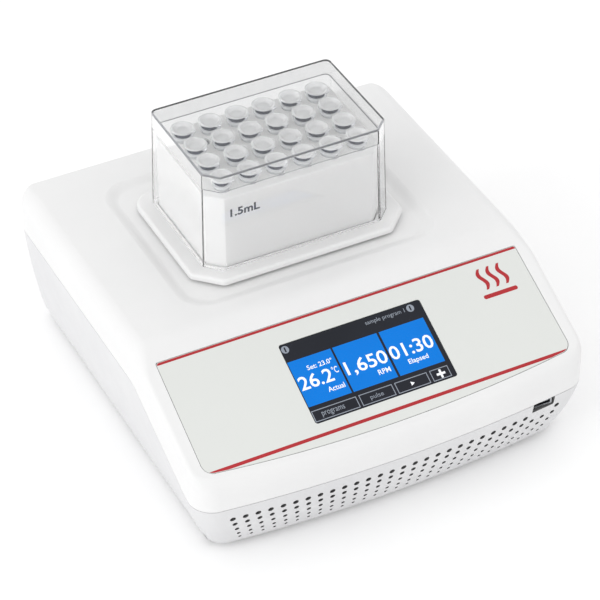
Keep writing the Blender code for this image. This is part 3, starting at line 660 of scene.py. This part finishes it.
# Greyer tint on the lid's top and ceiling: painted shade, as the lid is one clear plastic throughout.
LID_TOP_SHADE = clear_plastic("clear lid top, painted grey", (0.84, 0.84, 0.84), (0.815, 0.818, 0.82), (0.66, 0.67, 0.68))
# Grey, half clear plastic on the lid's rounded edges: painted shade for the dark lines seen along them.
LID_EDGE_SHADE = clear_plastic("clear lid edges, painted dark", (0.40, 0.41, 0.43), (0.46, 0.47, 0.49), (0.40, 0.41, 0.43),
                         clearness=0.5)
CLEAR_TUBE = clear_plastic("clear tube plastic", (0.97, 0.98, 0.99), (0.95, 0.965, 0.98), (0.9, 0.92, 0.95),
                           roughness=0.06, ior=1.38, clearness=0.55)
CAP_PLASTIC = clear_plastic("clear cap plastic", (1.0, 1.0, 1.0), (0.98, 0.985, 0.99), (1.0, 1.0, 1.0),
                            roughness=0.05, ior=1.3, clearness=0.5)
# Near-black blue for the tube's neck: painted shade under each cap's rim.
NECK_SHADE = clear_plastic("tube neck, painted shade", (0.03, 0.04, 0.07), (0.07, 0.085, 0.13), (0.02, 0.025, 0.04),
                          roughness=0.06, ior=1.45, clearness=0.6)
FUSE_GLASS = clear_plastic("fuse glass", (0.9, 0.95, 0.95), (0.86, 0.92, 0.92), (0.5, 0.55, 0.55))


# -------- housing


def hollow(outer, inner):
    """Thin-walled shell from rings, rim to crown, outside and inside."""
    bm = bmesh.new()
    outside = [ring(bm, points) for points in outer]
    inside = [ring(bm, points) for points in inner]
    for skin in (outside, inside):
        for lower, upper in zip(skin, skin[1:]):
            bridge(bm, lower, upper)
        ladder(bm, skin[-1])
    bridge(bm, outside[0], inside[0])
    return bm


def make_top_shell():
    """Rounded shell that follows deck and slope, with its pocket, recess and screw posts."""
    drops = [drop for _, drop in edge_sizes()]
    drops += drops[:0:-1]
    heights = [top_height(y) for _, y in edge_outline(1.0)]

    def edge_ring(points, share):
        return [(x, y, z - drop * share) for (x, y), z, drop in zip(points, heights, drops)]

    def seam_ring(inset, lift=0.0):
        return [(x, y, seam_height(y) + lift) for x, y in edge_outline(0.0, inset)]

    outer = [seam_ring(0.5), seam_ring(0.12, 0.15), seam_ring(0.0, 0.6)]
    for step in range(EDGE_STEPS + 1):
        swing = math.pi / 2 * step / EDGE_STEPS
        outer.append(edge_ring(edge_outline(1.0 - math.cos(swing)), 1.0 - math.sin(swing)))
    inner = [
        seam_ring(SHELL_WALL),
        edge_ring(edge_outline(0.0, SHELL_WALL), 1.15),
        [(x, y, top_height(y) - SHELL_WALL) for x, y in edge_outline(1.0, 1.2)],
    ]
    shell = new_object("top_shell", hollow(outer, inner), WHITE)
    cut_pocket(shell)
    cut_panel_recess(shell)
    add_shell_posts(shell)
    adopt(shell, "housing", ["top_shell"], sharp=24.0)


def add_shell_posts(shell):
    base = SHELL_LOW.z
    for x, y in CASE_SCREW_SPOTS:
        top = top_height(y - 5.0) - 2.0
        boolean(shell, rod(SHELL_POST_RADIUS, base, top, 24, (x, y)), "UNION")
        cut(shell, rod(THREAD_BORE_RADIUS, base - 5.0, base + 27.0, 16, (x, y)))


def pocket_rings():
    """Pocket's cutter: flat floor, soft walls that ease into the deck, and a part above it."""
    steps = 10
    rings = []
    for step in range(steps + 1):
        share = step / steps
        inset = POCKET_SLOPE * (1.0 - share)
        half = (POCKET_HALF[0] - inset, POCKET_HALF[1] - inset)
        outline = rounded_rectangle(half, POCKET_CORNER - inset * 0.7, (0.0, POCKET_Y), 14)
        rings.append(level(outline, POCKET_FLOOR_Z + (POCKET_DEPTH + 0.06) * smooth(share)))
    rings.append(level(outline, DECK_Z + 3.0))
    return rings


def cut_pocket(shell):
    """Thickens the deck under the pocket, sinks the pocket, and cuts the hole round the orbit's centre."""
    slab_half = (POCKET_HALF[0] + 2.0, POCKET_HALF[1] + 2.0)
    slab = rounded_rectangle(slab_half, POCKET_CORNER - 1.0, (0.0, POCKET_Y))
    boolean(shell, prism(slab, POCKET_FLOOR_Z - 3.0, DECK_Z - 1.0), "UNION")
    cut(shell, loft(pocket_rings()))
    hole = rounded_rectangle(HOLE_HALF, 14.0, (-ORBIT_RADIUS, BLOCK_Y))
    cut(shell, prism(hole, POCKET_FLOOR_Z - 5.0, POCKET_FLOOR_Z + 5.0))


def cut_panel_recess(shell):
    """Recess that takes the overlay, with a groove's width to spare, and the screen's window in it."""
    cut(shell, on_panel(prism(panel_outline(GROOVE), -OVERLAY_THICKNESS - 0.3, 3.0)))
    low, high = SCREEN_SPAN
    window = rect(-SCREEN_HALF_WIDTH + 2.0, -high + 2.0, SCREEN_HALF_WIDTH - 2.0, -low - 2.0)
    cut(shell, on_panel(prism(window, -8.0, 2.0)))


def tray_inset(share):
    """How far the tray's wall has moved in at a share of the way from its rim to its heel."""
    return TRAY_INSET * (0.55 * share + 0.45 * share**2)


def tray_ring(share, extra=0.0, z=None, lower=0.0):
    """Tray's outline at that share, level at z where one is given, or else between rim and heel."""
    inset = tray_inset(share) + extra
    corner = FRONT_CORNER_RADIUS - 3.0 * share - extra
    points = both_halves(half_outline(inset, 2.0 * share + extra, corner))
    rim = both_halves(half_outline())
    heights = [lerp(seam_height(y) - SEAM_GAP, TRAY_HEEL_Z, share) - lower for _, y in rim]
    return [(x, y, height if z is None else z) for (x, y), height in zip(points, heights)]


def make_bottom_tray():
    """Tapered tray with vents, screw posts, the port's opening and the back wall's openings."""
    outer = [tray_ring(0.0, 0.5), tray_ring(0.0, 0.12, lower=0.15)]
    outer += [tray_ring(share) for share in (0.02, 0.1, 0.2, 0.3, 0.4, 0.5, 0.6, 0.7, 0.8, 0.9, 1.0)]
    heel = 3.4
    for step in range(1, 6):
        swing = math.pi / 2 * step / 5
        z = TRAY_HEEL_Z - (TRAY_HEEL_Z - TRAY_LOW.z) * math.sin(swing)
        outer.append(tray_ring(1.0, heel * (1.0 - math.cos(swing)), z))
    inner = [tray_ring(share, TRAY_WALL) for share in (0.0, 0.3, 0.6)]
    inner.append(tray_ring(0.96, TRAY_WALL, TRAY_FLOOR_Z + 2.5))
    inner.append(tray_ring(1.0, TRAY_WALL + 2.0, TRAY_FLOOR_Z))
    tray = new_object("bottom_tray", hollow(outer, inner), PALE)
    # The vents' bore walls take the painted shade.
    cut(tray, together(vent_cutters()), looks=BORE_SHADE)
    add_tray_posts(tray)
    cut_port_opening(tray)
    cut_back_wall(tray)
    adopt(tray, "housing", ["bottom_tray"], sharp=30.0)


def add_tray_posts(tray):
    for centre in CASE_SCREW_SPOTS:
        boolean(tray, rod(TRAY_POST_RADIUS, TRAY_LOW.z + 1.0, TRAY_POST_TOP_Z, 24, centre), "UNION")
        cut(tray, rod(SCREW_BORE_RADIUS, 0.0, 40.0, 20, centre))
        cut(tray, rod(HEAD_BORE_RADIUS, 0.0, 20.0, 24, centre))


def vent_cutters():
    """Short pins through the front wall, clear of the port. Lower rows are finer and closer together."""
    pins = []
    top_row = VENT_ROWS[0]
    for z in VENT_ROWS:
        drop = (top_row - z) / (top_row - VENT_ROWS[-1])
        share = (SEAM_FRONT_Z - z) / (SEAM_FRONT_Z - TRAY_HEEL_Z)
        for column in range(VENT_COLUMNS):
            x = (column - (VENT_COLUMNS - 1) / 2) * VENT_PITCH * lerp(1.0, 0.93, drop)
            if abs(x - PORT_X) < VENT_FREE_HALF and z == top_row:
                continue
            y = FRONT_Y + tray_inset(share) + BOW_RADIUS - math.sqrt(BOW_RADIUS**2 - x**2)
            radius = VENT_RADIUS * lerp(1.0, VENT_LOW_SHARE, drop)
            pins.append(along_y(rod(radius, -2.5, 8.0, 16), x, y, z))
    return pins


def through_wall(half, radius, x, z, start_y, depth, steps=4):
    """Cutter for a rounded opening in the front or the back wall, from start_y to depth behind it."""
    outline = rounded_rectangle(half, radius, (x, -z), steps)
    return along_y(prism(outline, 0.0, depth), 0.0, start_y, 0.0)


def cut_port_opening(tray):
    # The port opening's walls take the painted shade.
    cut(tray, through_wall(PORT_OPENING, 0.8, PORT_X, PORT_Z, -150.0, 25.0), looks=BORE_SHADE)


def cut_back_wall(tray):
    """Openings for the mains inlet, the power switch and the fan's air."""
    cut(tray, through_wall(INLET_OPENING, 1.5, INLET_X, INLET_Z, 130.0, 20.0))
    cut(tray, through_wall(SWITCH_OPENING, 1.0, SWITCH_X, INLET_Z, 130.0, 20.0))
    slots = []
    for row in range(FAN_SLOTS):
        lift = (row - (FAN_SLOTS - 1) / 2) * FAN_SLOT_PITCH
        reach = math.sqrt(FAN_REACH**2 - lift**2)
        slots.append(through_wall((reach, 2.0), 1.9, FAN_X, FAN_Z + lift, 130.0, 20.0, 6))
    cut(tray, together(slots))


# -------- front panel


def screen_area(margin=0.0):
    low, high = SCREEN_SPAN
    half = (SCREEN_HALF_WIDTH + margin, (high - low) / 2 + margin)
    return rounded_rectangle(half, 1.5 + margin, (0.0, -(low + high) / 2), 6)


def make_overlay():
    """Membrane, the screen glass in its window, and the groove's floor round the membrane, painted
    near-black as shade.
    """
    sheet = on_panel(prism(panel_outline(), -OVERLAY_THICKNESS, 0.0))
    overlay = new_object("front_overlay", sheet, OVERLAY)
    cut(overlay, on_panel(prism(screen_area(0.3), -4.0, 4.0)))
    adopt(overlay, "housing", ["front_overlay"], bevel=0.12)
    glass = on_panel(prism(screen_area(), -OVERLAY_THICKNESS, -0.02))
    piece("touch_glass", glass, SCREEN, "housing", ["touch_glass"], bevel=0.2)
    # The groove's floor is painted near-black as shade in the narrow gap.
    groove = prism(panel_outline(GROOVE - 0.02), -OVERLAY_THICKNESS - 0.28, -OVERLAY_THICKNESS - 0.2)
    piece("panel_groove", on_panel(groove), GROOVE_SHADE, "housing")


def make_stripe(name, low, high):
    """Straight red stripe across the overlay, kept inside its outline."""
    band = new_object(name, on_panel(prism(rect(-140.0, -high, 140.0, -low), 0.0, PRINT_LIFT)), RED)
    boolean(band, on_panel(prism(panel_outline(-0.25), -1.0, 1.0)), "INTERSECT")
    adopt(band, "housing")


def wave(x, v, height, width):
    """One S-shaped heat wave as a flat outline."""
    steps = 24
    left, right = [], []
    for step in range(steps + 1):
        share = step / steps
        sway = math.sin(share * 2.0 * math.pi) * height * 0.11
        taper = width * (0.35 + 0.65 * math.sin(math.pi * lerp(0.12, 0.88, share)))
        left.append((x + sway - taper / 2, v + share * height))
        right.append((x + sway + taper / 2, v + share * height))
    return left + right[::-1]


def make_heat_mark():
    """Plain sign for heat at the panel's right: three waves over a bar."""
    shapes = [prism(wave(93.5 + 7.0 * i, -22.5, 15.0, 3.0), 0.0, PRINT_LIFT) for i in range(3)]
    shapes.append(prism(rounded_rectangle((12.0, 1.4), 1.3, (100.5, -27.0), 5), 0.0, PRINT_LIFT))
    piece("heat_mark", on_panel(together(shapes)), RED, "housing")


def lettering(name, text, area, looks, body="housing", place=PANEL, weight=0.012):
    """Flat figures and words fitted into an area, x0, v0, x1, v1, of a frame of their own."""
    curve = bpy.data.curves.new(name, "FONT")
    curve.body = text
    curve.offset = weight
    curve.resolution_u = 3
    shape = bpy.data.objects.new(name + "_curve", curve)
    bpy.context.scene.collection.objects.link(shape)
    bpy.context.view_layer.update()
    mesh = bpy.data.meshes.new_from_object(shape.evaluated_get(bpy.context.evaluated_depsgraph_get()))
    bpy.data.objects.remove(shape)
    bpy.data.curves.remove(curve)
    x0, v0, x1, v1 = area
    xs = [vert.co.x for vert in mesh.vertices]
    vs = [vert.co.y for vert in mesh.vertices]
    stretch = ((x1 - x0) / (max(xs) - min(xs)), (v1 - v0) / (max(vs) - min(vs)))
    fit = Matrix.Translation((x0, v0, PRINT_LIFT)) @ Matrix.Diagonal((*stretch, 1.0, 1.0))
    mesh.transform(Matrix.Scale(MM, 4) @ place @ fit @ Matrix.Translation((-min(xs), -min(vs), 0.0)))
    mesh.materials.clear()
    mesh.materials.append(looks)
    made = bpy.data.objects.new(name, mesh)
    bpy.context.scene.collection.objects.link(made)
    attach(made, body)


# Left and right of each tile and button, and how far down the panel their rows start and end.
TILES = ((-48.2, -18.9), (-17.6, 12.8), (14.4, 45.4))
TILE_SPAN = (26.4, 58.0)
BUTTONS = ((-48.2, -17.9), (-16.1, 6.6), (8.4, 30.6), (32.6, 45.1))
BUTTON_SPAN = (61.0, 68.6)


def make_display():
    """Three blue tiles with their figures and words, the header's signs, and the buttons."""
    low, high = TILE_SPAN
    for number, (x0, x1) in enumerate(TILES, 1):
        tile = prism(rect(x0, -high, x1, -low), -0.01, 0.01)
        piece(f"display_tile_{number}", on_panel(tile), BLUE, "housing")
    words = {
        "set_value": ("Set: 23.0°", (-38.1, -35.3, -21.2, -32.0)),
        "temperature": ("26.2", (-47.2, -47.0, -24.9, -37.7)),
        "temperature_unit": ("°C", (-24.2, -42.6, -20.3, -38.0)),
        "temperature_note": ("Actual", (-31.9, -53.0, -20.7, -49.6)),
        "speed": ("1,650", (-15.9, -48.4, 12.3, -37.7)),
        "speed_unit": ("RPM", (2.4, -53.0, 10.6, -49.6)),
        "time": ("01:30", (14.6, -47.0, 44.1, -37.7)),
        "time_note": ("Elapsed", (23.4, -53.6, 36.9, -49.4)),
    }
    for name, (text, area) in words.items():
        lettering(name, text, area, LETTERS)
    lettering("header_note", "sample program 1", (9.1, -20.2, 36.4, -16.6), DIM, weight=0.0)
    for side, x in (("left", -45.6), ("right", 40.6)):
        sign = rounded_rectangle((2.5, 2.5), 2.45, (x, -17.9))
        piece(f"header_sign_{side}", on_panel(prism(sign, -0.01, 0.01)), DIM, "housing")
        needle = rounded_rectangle((0.5, 1.7), 0.45, (x, -17.9), 4)
        piece(f"header_needle_{side}", on_panel(prism(needle, 0.0, 0.02)), SCREEN, "housing")
    make_buttons()


def frame_of(x0, x1, v0, v1, line):
    """Thin rectangular outline as four flat bars."""
    bars = [rect(x0, v0, x1, v0 + line), rect(x0, v1 - line, x1, v1),
            rect(x0, v0 + line, x0 + line, v1 - line), rect(x1 - line, v0 + line, x1, v1 - line)]
    return [prism(bar, -0.01, 0.01) for bar in bars]


def make_buttons():
    """Bottom row of the display: four outlined buttons with a word or a sign each."""
    top, bottom = (-value for value in BUTTON_SPAN)
    bars = []
    for x0, x1 in BUTTONS:
        bars += frame_of(x0, x1, bottom, top, 0.5)
    piece("button_outlines", on_panel(together(bars)), DIM, "housing")
    lettering("button_word_1", "programs", (-42.4, -67.2, -27.0, -63.4), DIM, weight=0.0)
    lettering("button_word_2", "pulse", (-9.6, -67.0, -0.6, -63.2), DIM, weight=0.0)
    arrow = prism([(18.4, -66.3), (20.9, -64.9), (18.4, -63.5)], -0.01, 0.02)
    piece("start_sign", on_panel(arrow), LETTERS, "housing")
    bars = [rect(36.2, -65.7, 42.0, -64.2), rect(38.4, -67.9, 39.8, -65.7), rect(38.4, -64.2, 39.8, -62.0)]
    piece("plus_sign", on_panel(together([prism(bar, -0.01, 0.02) for bar in bars])), LETTERS, "housing")


# -------- platform, block, lid


def flange_outline(inset):
    """Collar's outer edge moved inwards, its corners shrinking with it."""
    half = (COLLAR_HALF[0] - inset, COLLAR_HALF[1] - inset)
    return plate_outline(half, COLLAR_CHAMFER - 0.4 * inset, 14.0 - inset, 5.0 - 0.5 * inset)


def make_collar():
    """Neck that goes down through the deck, a rounded flange with a thin skirt, and the block's mouth."""
    z1 = COLLAR_HIGH.z
    z0 = z1 - COLLAR_LIP
    skirt_z = z0 - SKIRT
    neck = plate_outline(NECK_HALF, 6.0, 10.0)
    bore = plate_outline((NECK_HALF[0] - 2.2, NECK_HALF[1] - 2.2), 5.2, 8.0)
    mouth_half = (BLOCK_HALF[0] + 0.8, BLOCK_HALF[1] + 0.8)
    mouth = plate_outline(mouth_half, BLOCK_CHAMFER, 4.0)
    lip = plate_outline((mouth_half[0] + 0.4, mouth_half[1] + 0.4), BLOCK_CHAMFER, 4.2)
    rings = [level(neck, COLLAR_LOW.z), level(neck, z0), level(flange_outline(3.0), z0)]
    rings += [level(flange_outline(2.6), skirt_z), level(flange_outline(0.3), skirt_z)]
    rings.append(level(flange_outline(0.0), skirt_z + 0.3))
    steps = 6
    for step in range(steps + 1):
        swing = math.pi / 2 * step / steps
        inset = 2.2 * (1.0 - math.cos(swing))
        rings.append(level(flange_outline(inset), z1 - 1.8 * (1.0 - math.sin(swing))))
    rings += [level(lip, z1), level(mouth, z1 - 0.4), level(mouth, z1 - 3.0)]
    rings += [level(bore, z1 - 4.5), level(bore, COLLAR_LOW.z)]
    collar = loft(rings, closed=True)
    piece("platform_collar", collar, WHITE, "platform", ["platform_collar"])


def well_centres():
    for row in range(WELL_ROWS):
        for column in range(WELL_COLUMNS):
            x = (column - (WELL_COLUMNS - 1) / 2) * WELL_PITCH
            yield x, BLOCK_Y + ((WELL_ROWS - 1) / 2 - row) * WELL_PITCH


def well_profile():
    """Half section of a well's cutter: cone, straight wall, and a fine countersink at the top."""
    top = BLOCK_HIGH.z
    mouth = WELL_RADIUS + 0.45
    cone = [(0.0, top - WELL_DEPTH), (1.8, top - WELL_DEPTH), (WELL_RADIUS, top - WELL_STRAIGHT)]
    return cone + [(WELL_RADIUS, top - 0.4), (mouth, top + 0.05), (mouth, top + 2.0), (0.0, top + 2.0)]


def make_block():
    """Chamfered block with its wells, its two counterbored screws and its printed volume."""
    base, top = BLOCK_LOW.z, BLOCK_HIGH.z
    outline = plate_outline(BLOCK_HALF, BLOCK_CHAMFER, 3.0, 0.8)
    inner_half = (BLOCK_HALF[0] - 0.5, BLOCK_HALF[1] - 0.5)
    inner = plate_outline(inner_half, BLOCK_CHAMFER - 0.2, 2.6, 0.8)
    rings = [level(inner, base), level(outline, base + 0.5), level(outline, top - 0.5), level(inner, top)]
    block = new_object("sample_block", loft(rings), ALUMINIUM)
    cut(block, together([turned(well_profile(), 40, centre) for centre in well_centres()]))
    centres = [(x, BLOCK_Y + y) for x, y in SCREW_SPOTS]
    for centre in centres:
        cut(block, rod(2.6, base - 2.0, top + 2.0, 24, centre), rod(4.6, top - 4.5, top + 2.0, 32, centre))
    adopt(block, "block", ["sample_block"], sharp=30.0)
    for side, centre in zip(("left", "right"), centres):
        make_block_screw(side, centre)
    face = Matrix.Translation((0.0, BLOCK_LOW.y, 0.0)) @ Matrix.Rotation(math.pi / 2, 4, "X")
    lettering("volume_mark", "1.5mL", VOLUME_MARK_AREA, INK, "block", face, weight=0.03)


def make_block_screw(side, centre):
    """Slotted cheese-head screw between the heights of its CAD piece."""
    low, high = span(f"block_screw_{side}")
    head = high.z
    shank = [(0.0, low.z), (2.0, low.z), (2.0, head - 3.4)]
    profile = shank + [(4.0, head - 3.4), (4.0, head - 0.4), (3.6, head), (0.0, head)]
    screw = new_object(f"block_screw_{side}", turned(profile, 32, centre), STEEL)
    x, y = centre
    cut(screw, box((x - 5.0, y - 0.6, head - 1.2), (x + 5.0, y + 0.6, head + 1.0)))
    adopt(screw, "block", [f"block_screw_{side}"])


def raised(profile):
    """Profile whose heights are given from the tubes' base level above the block."""
    return [(radius, TUBE_BASE + z) for radius, z in profile]


def tube_body():
    """Conical tube hanging in a well, as one turned wall with a lip at its mouth."""
    tip = 2.0 - WELL_DEPTH
    outer = [(0.0, tip), (1.4, tip + 0.3), (2.1, tip + 1.2), (4.95, -20.0), (5.2, -0.2)]
    lip = [(5.3, 0.2), (6.5, 0.3), (6.8, 0.6), (6.5, 1.0), (5.2, 1.3)]
    inner = [(4.4, 1.3), (4.2, -19.5), (1.3, tip + 1.8), (0.0, tip + 1.2)]
    return turned(raised(outer + lip + inner), 36)


def tube_neck():
    """Ring of wall between the lip and the cap; its near-black colour is painted shade for the gap under
    the cap.
    """
    return turned(raised([(5.1, 1.35), (5.3, 1.6), (5.25, 3.6), (4.4, 3.7), (4.4, 1.35)]), 36)


def tube_cap():
    """Snap cap: a dished disc with a raised rim and a plug that enters the tube."""
    dish = [(0.0, 4.2), (3.4, 4.2), (4.6, 4.6), (5.6, 5.8)]
    rim = [(6.1, 6.2), (7.1, 6.2), (7.5, 5.9), (7.4, 5.3), (6.0, 4.9), (5.3, 3.9)]
    plug = [(4.2, 3.8), (4.1, 0.4), (3.6, 0.2), (3.4, 0.4), (3.2, 3.5), (0.0, 3.5)]
    return turned(raised(dish + rim + plug), 36)


def tube_hinge():
    """Strap that joins the cap to the tube's lip, and the tab that opens the cap."""
    strap = rect(-1.9, 6.2, 1.9, 7.2)
    tab = [(-2.2, -7.0), (2.2, -7.0), (1.7, -8.6), (-1.7, -8.6)]
    upright = prism(strap, TUBE_BASE + 0.4, TUBE_BASE + 5.6)
    return together([upright, prism(tab, TUBE_BASE + 5.2, TUBE_BASE + 6.0)])


def make_tubes():
    """A closed clear tube in every well, each turned a little its own way."""
    # The neck ring takes the painted shade material.
    parts = {"tube": (tube_body(), CLEAR_TUBE), "tube_neck": (tube_neck(), NECK_SHADE),
             "tube_cap": (tube_cap(), CAP_PLASTIC), "tube_hinge": (tube_hinge(), CLEAR_TUBE)}
    meshes = {}
    for name, (bm, looks) in parts.items():
        made = new_object(name, bm, looks)
        finish_surface(made, 35.0)
        meshes[name] = made
    for number, (x, y) in enumerate(well_centres(), 1):
        turn = math.radians(28.0 + 9.0 * math.sin(number * 2.3))
        place = Matrix.Translation((x * MM, y * MM, 0.0)) @ Matrix.Rotation(turn, 4, "Z")
        for name, model in meshes.items():
            made = model.copy()
            made.name = f"{name}_{number}"
            bpy.context.scene.collection.objects.link(made)
            made.matrix_world = place
            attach(made, "block")
    for model in meshes.values():
        bpy.data.objects.remove(model)


def lid_wall(inset, z):
    half = (LID_HALF[0] - inset, LID_HALF[1] - inset)
    outline = plate_outline(half, LID_CHAMFER - 0.4 * inset, 4.5 - 0.4 * inset, 1.0, 5)
    return level(outline, z)


def lid_skin(bm, outlines, bands):
    """One skin of the lid, mouth to flat top; each band's number picks wall 0, edge 1 or top 2."""
    verts = [ring(bm, points) for points in outlines]
    for lower, upper, looks in zip(verts, verts[1:], bands):
        before = len(bm.faces)
        bridge(bm, lower, upper)
        bm.faces.ensure_lookup_table()
        for face in bm.faces[before:]:
            face.material_index = looks
    crown = bm.faces.new(verts[-1])
    crown.material_index = 2
    return verts[0]


def make_lid():
    """Clear box: rounded outer edges, drafted walls, and an inside ledge where they grow thinner."""
    base, top = LID_LOW.z, LID_HIGH.z
    draft = LID_DRAFT * (LID_LEDGE_Z - base) / (top - LID_ROUNDING - base)
    thin = LID_WALL - LID_LEDGE
    ceiling_z = top - LID_WALL
    outer = [lid_wall(0.0, base)]
    for step in range(6):
        swing = math.pi / 2 * step / 5
        inset = LID_DRAFT + LID_ROUNDING * (1.0 - math.cos(swing))
        outer.append(lid_wall(inset, top - LID_ROUNDING * (1.0 - math.sin(swing))))
    inner = [lid_wall(LID_WALL, base), lid_wall(draft + LID_WALL, LID_LEDGE_Z)]
    inner += [lid_wall(draft + thin, LID_LEDGE_Z + 0.2), lid_wall(LID_DRAFT + thin, ceiling_z - 0.4)]
    inner.append(lid_wall(LID_DRAFT + thin + 0.4, ceiling_z))
    bm = bmesh.new()
    mouth = lid_skin(bm, outer, (0, 1, 1, 1, 1, 1))
    inner_mouth = lid_skin(bm, inner, (0, 1, 2, 1))
    bridge(bm, mouth, inner_mouth)
    lid = new_object("clear_lid", bm, CLEAR_LID)
    # Rounded edges: painted shade material.
    lid.data.materials.append(LID_EDGE_SHADE)
    # Top and ceiling: painted grey shade.
    lid.data.materials.append(LID_TOP_SHADE)
    adopt(lid, "lid", ["clear_lid"], sharp=40.0)


# -------- the rest of the CAD


CAD_LOOKS = {
    "chassis_plate": RAW_ALUMINIUM, "orbit_plate": RAW_ALUMINIUM, "heater_plate": RAW_ALUMINIUM,
    "counterweight": BRASS, "main_board": BOARD, "insulation_pad": FELT, "fuse": FUSE_GLASS,
    "power_inlet": BLACK, "fuse_drawer": BLACK, "switch_frame": BLACK, "power_rocker": BLACK,
    "fan_frame": BLACK, "fan_rotor": BLACK, "display_module": STEEL,
}


def dress_cad():
    """Gives every CAD piece that is still shown its finish and a fine edge."""
    for name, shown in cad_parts.items():
        if shown.hide_render:
            continue
        looks = CAD_LOOKS.get(name, STEEL)
        if name.startswith("chassis_post"):
            looks = BRASS
        if name.startswith("foot"):
            looks = RUBBER
        shown.data.materials.clear()
        shown.data.materials.append(looks)
        bevel_edges(shown, 0.25, 35.0)


# -------- stage, light, camera


def make_stage():
    """Wide pale floor."""
    floor_mesh = bmesh.new()
    side = 4000.0
    floor_mesh.faces.new(ring(floor_mesh, level(rect(-side, -side, side, side), 0.0)))
    pale = surface("pale floor", (0.94, 0.94, 0.94), (0.95, 0.95, 0.95), (0.8, 0.9), grain=(60.0, 0.01))
    shader = pale.node_tree.nodes["Principled BSDF"]
    shader.inputs["Emission Color"].default_value = (1.0, 1.0, 1.0, 1.0)
    shader.inputs["Emission Strength"].default_value = 0.06
    floor = new_object("floor", floor_mesh, pale)


def area_light(name, place, target, size, watts):
    """Soft rectangular lamp, its place and size in metres, aimed at a target."""
    lamp = bpy.data.lights.new(name, "AREA")
    lamp.shape = "RECTANGLE"
    lamp.size, lamp.size_y = size
    lamp.energy = watts
    made = bpy.data.objects.new(name, lamp)
    bpy.context.scene.collection.objects.link(made)
    made.location = place
    aim = Vector(target) - Vector(place)
    made.rotation_euler = aim.to_track_quat("-Z", "Y").to_euler()


def make_light():
    """Near-white studio all round, brighter above, and one key lamp from the left."""
    world = bpy.data.worlds.new("studio")
    bpy.context.scene.world = world
    world.use_nodes = True
    tree = world.node_tree
    coords = tree.nodes.new("ShaderNodeTexCoord")
    split = tree.nodes.new("ShaderNodeSeparateXYZ")
    tree.links.new(coords.outputs["Generated"], split.inputs["Vector"])
    height = ranged(tree, split.outputs["Z"], 0.0, 1.0, 0.0, 0.75)
    colours = mixed(tree, height, (0.86, 0.86, 0.87), (1.0, 1.0, 1.0))
    background = tree.nodes["Background"]
    tree.links.new(colours, background.inputs["Color"])
    background.inputs["Strength"].default_value = 1.02
    area_light("key", (-3.4, -0.6, 2.0), (0.0, 0.0, 0.05), (2.6, 1.8), 34.0)


def make_camera():
    """Long lens from the front left, looking about 39 degrees down. Its place is in metres."""
    lens = bpy.data.cameras.new("camera")
    lens.sensor_width = 36.0
    lens.lens = 164.07
    lens.clip_start = 0.05
    lens.clip_end = 20.0
    camera = bpy.data.objects.new("camera", lens)
    bpy.context.scene.collection.objects.link(camera)
    right = Vector((0.8917, -0.4526, -0.0087))
    up = Vector((0.2913, 0.5589, 0.7764))
    turn = Matrix((right, up, right.cross(up))).transposed().to_4x4()
    camera.matrix_world = Matrix.Translation((-0.602, -1.207, 1.160)) @ turn
    bpy.context.scene.camera = camera


def main():
    make_top_shell()
    make_bottom_tray()
    make_overlay()
    make_stripe("upper_red_stripe", *STRIPE_TOP)
    make_stripe("lower_red_stripe", *STRIPE_LOW)
    make_heat_mark()
    make_display()
    make_collar()
    make_block()
    make_tubes()
    make_lid()
    dress_cad()
    make_stage()
    make_light()
    make_camera()
    bpy.context.scene.view_settings.view_transform = "Standard"


main()
